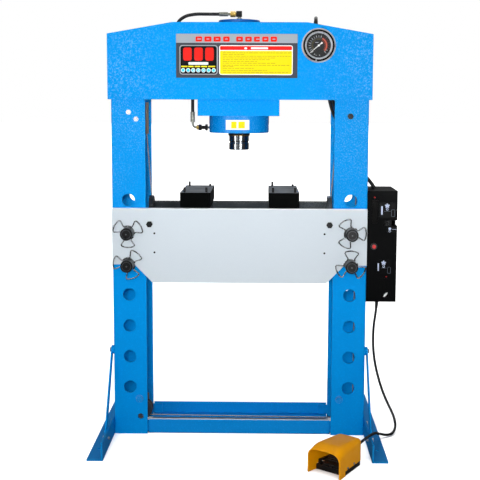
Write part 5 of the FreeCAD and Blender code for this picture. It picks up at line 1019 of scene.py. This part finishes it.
q.t.links.new(dim.outputs[0], mixg.inputs[1])
q.t.links.new(dark.outputs[0], mixg.inputs[2])
mixs = q.n("ShaderNodeMixShader")
q.t.links.new(lp.outputs["Is Camera Ray"], mixs.inputs[0])
q.t.links.new(mixg.outputs[0], mixs.inputs[1])
q.t.links.new(q.b.outputs[0], mixs.inputs[2])
q.t.links.new(mixs.outputs[0], q.out.inputs[0])
me.materials.append(q.m)
floor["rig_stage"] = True

world = bpy.data.worlds.new("studio")
scene.world = world
world.use_nodes = True
wt = world.node_tree
wt.nodes.clear()
wo = wt.nodes.new("ShaderNodeOutputWorld")
seen = wt.nodes.new("ShaderNodeBackground")
seen.inputs[0].default_value = (1.0, 1.0, 1.0, 1.0)
seen.inputs[1].default_value = 1.0
room = wt.nodes.new("ShaderNodeBackground")
wtc = wt.nodes.new("ShaderNodeTexCoord")
wsx = wt.nodes.new("ShaderNodeSeparateXYZ")
wmr = wt.nodes.new("ShaderNodeMapRange")
wt.links.new(wtc.outputs["Generated"], wsx.inputs[0])
wt.links.new(wsx.outputs[2], wmr.inputs["Value"])
wmr.inputs["From Min"].default_value = -0.1
wmr.inputs["From Max"].default_value = 0.9
wmr.inputs["To Min"].default_value = 0.08
wmr.inputs["To Max"].default_value = 0.26
room.inputs[0].default_value = (1.0, 1.0, 1.0, 1.0)
wt.links.new(wmr.outputs[0], room.inputs[1])
wlp = wt.nodes.new("ShaderNodeLightPath")
wmx = wt.nodes.new("ShaderNodeMixShader")
wt.links.new(wlp.outputs["Is Camera Ray"], wmx.inputs[0])
wt.links.new(room.outputs[0], wmx.inputs[1])
wt.links.new(seen.outputs[0], wmx.inputs[2])
wt.links.new(wmx.outputs[0], wo.inputs[0])

subject = bpy.data.collections.new("subject")
ground = bpy.data.collections.new("ground")
scene.collection.children.link(subject)
scene.collection.children.link(ground)
ground.objects.link(floor)


def softbox(name, at, to, w, h, power, receiver=None):
    d = bpy.data.lights.new(name, "AREA")
    d.shape = "RECTANGLE"
    d.size, d.size_y = w, h
    d.energy = power
    o = bpy.data.objects.new(name, d)
    scene.collection.objects.link(o)
    o.location = at
    o.rotation_euler = (Vector(to) - Vector(at)).to_track_quat("-Z", "Y").to_euler()
    o.visible_camera = False
    if receiver:
        o.light_linking.receiver_collection = receiver
    return o


def sun(name, direction, strength, angle, receiver=None):
    d = bpy.data.lights.new(name, "SUN")
    d.energy = strength
    d.angle = math.radians(angle)
    o = bpy.data.objects.new(name, d)
    scene.collection.objects.link(o)
    o.rotation_euler = Vector(direction).to_track_quat("-Z", "Y").to_euler()
    o.visible_camera = False
    if receiver:
        o.light_linking.receiver_collection = receiver
    return o


softbox("key", (-2.7, -4.2, 3.5), (0.0, 0.1, 1.75), 2.2, 2.6, 40.0, subject)
softbox("fill", (2.2, -4.8, 3.1), (0.0, 0.1, 1.6), 3.2, 2.4, 14.0, subject)
front = softbox("front", (-0.1, -4.9, 1.8), (-0.1, 0.1, 1.6), 0.6, 0.6, 24.0, subject)
front.data.spread = math.radians(62.0)
front.visible_glossy = False
for name, x_ in (("side_right", 3.9), ("side_left", -3.9)):
    side = softbox(name, (x_, -2.6, 0.9), (-0.45 if x_ > 0 else 0.45, 0.15, 0.8), 1.6, 2.2, 15.0 if x_ > 0 else 5.0, subject)
    side.visible_glossy = False
gloss = softbox("gloss_left", (-1.5, -4.4, 2.1), (-0.5, 0.0, 1.6), 1.0, 1.2, 30.0, subject)
gloss.visible_diffuse = False
softbox("top", (0.0, -0.4, 4.6), (0.0, 0.1, 1.0), 3.2, 2.0, 18.0, subject)
softbox("back", (0.5, 3.6, 5.2), (0.0, 0.1, 1.1), 3.4, 2.6, 120.0, subject)
for name, deg, half_w, power in (("strip_left", -42.0, 0.5, 22.0), ("strip_right", 20.0, 1.0, 28.0)):
    g = math.radians(deg)
    strip = softbox(name, (3.2 * math.sin(g) - 0.04, 0.1 - 3.2 * math.cos(g), 1.15), (-0.04, 0.1, 1.3), half_w, 0.9, power, subject)
    strip.visible_diffuse = False
sun("ground_light", (0.05, 0.25, -1.0), 6.0, 70.0, ground)

# everything that belongs to the object is lit by the softboxes
for o in list(scene.objects):
    if o.type in ("MESH", "CURVE") and not o.get("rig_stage"):
        subject.objects.link(o)
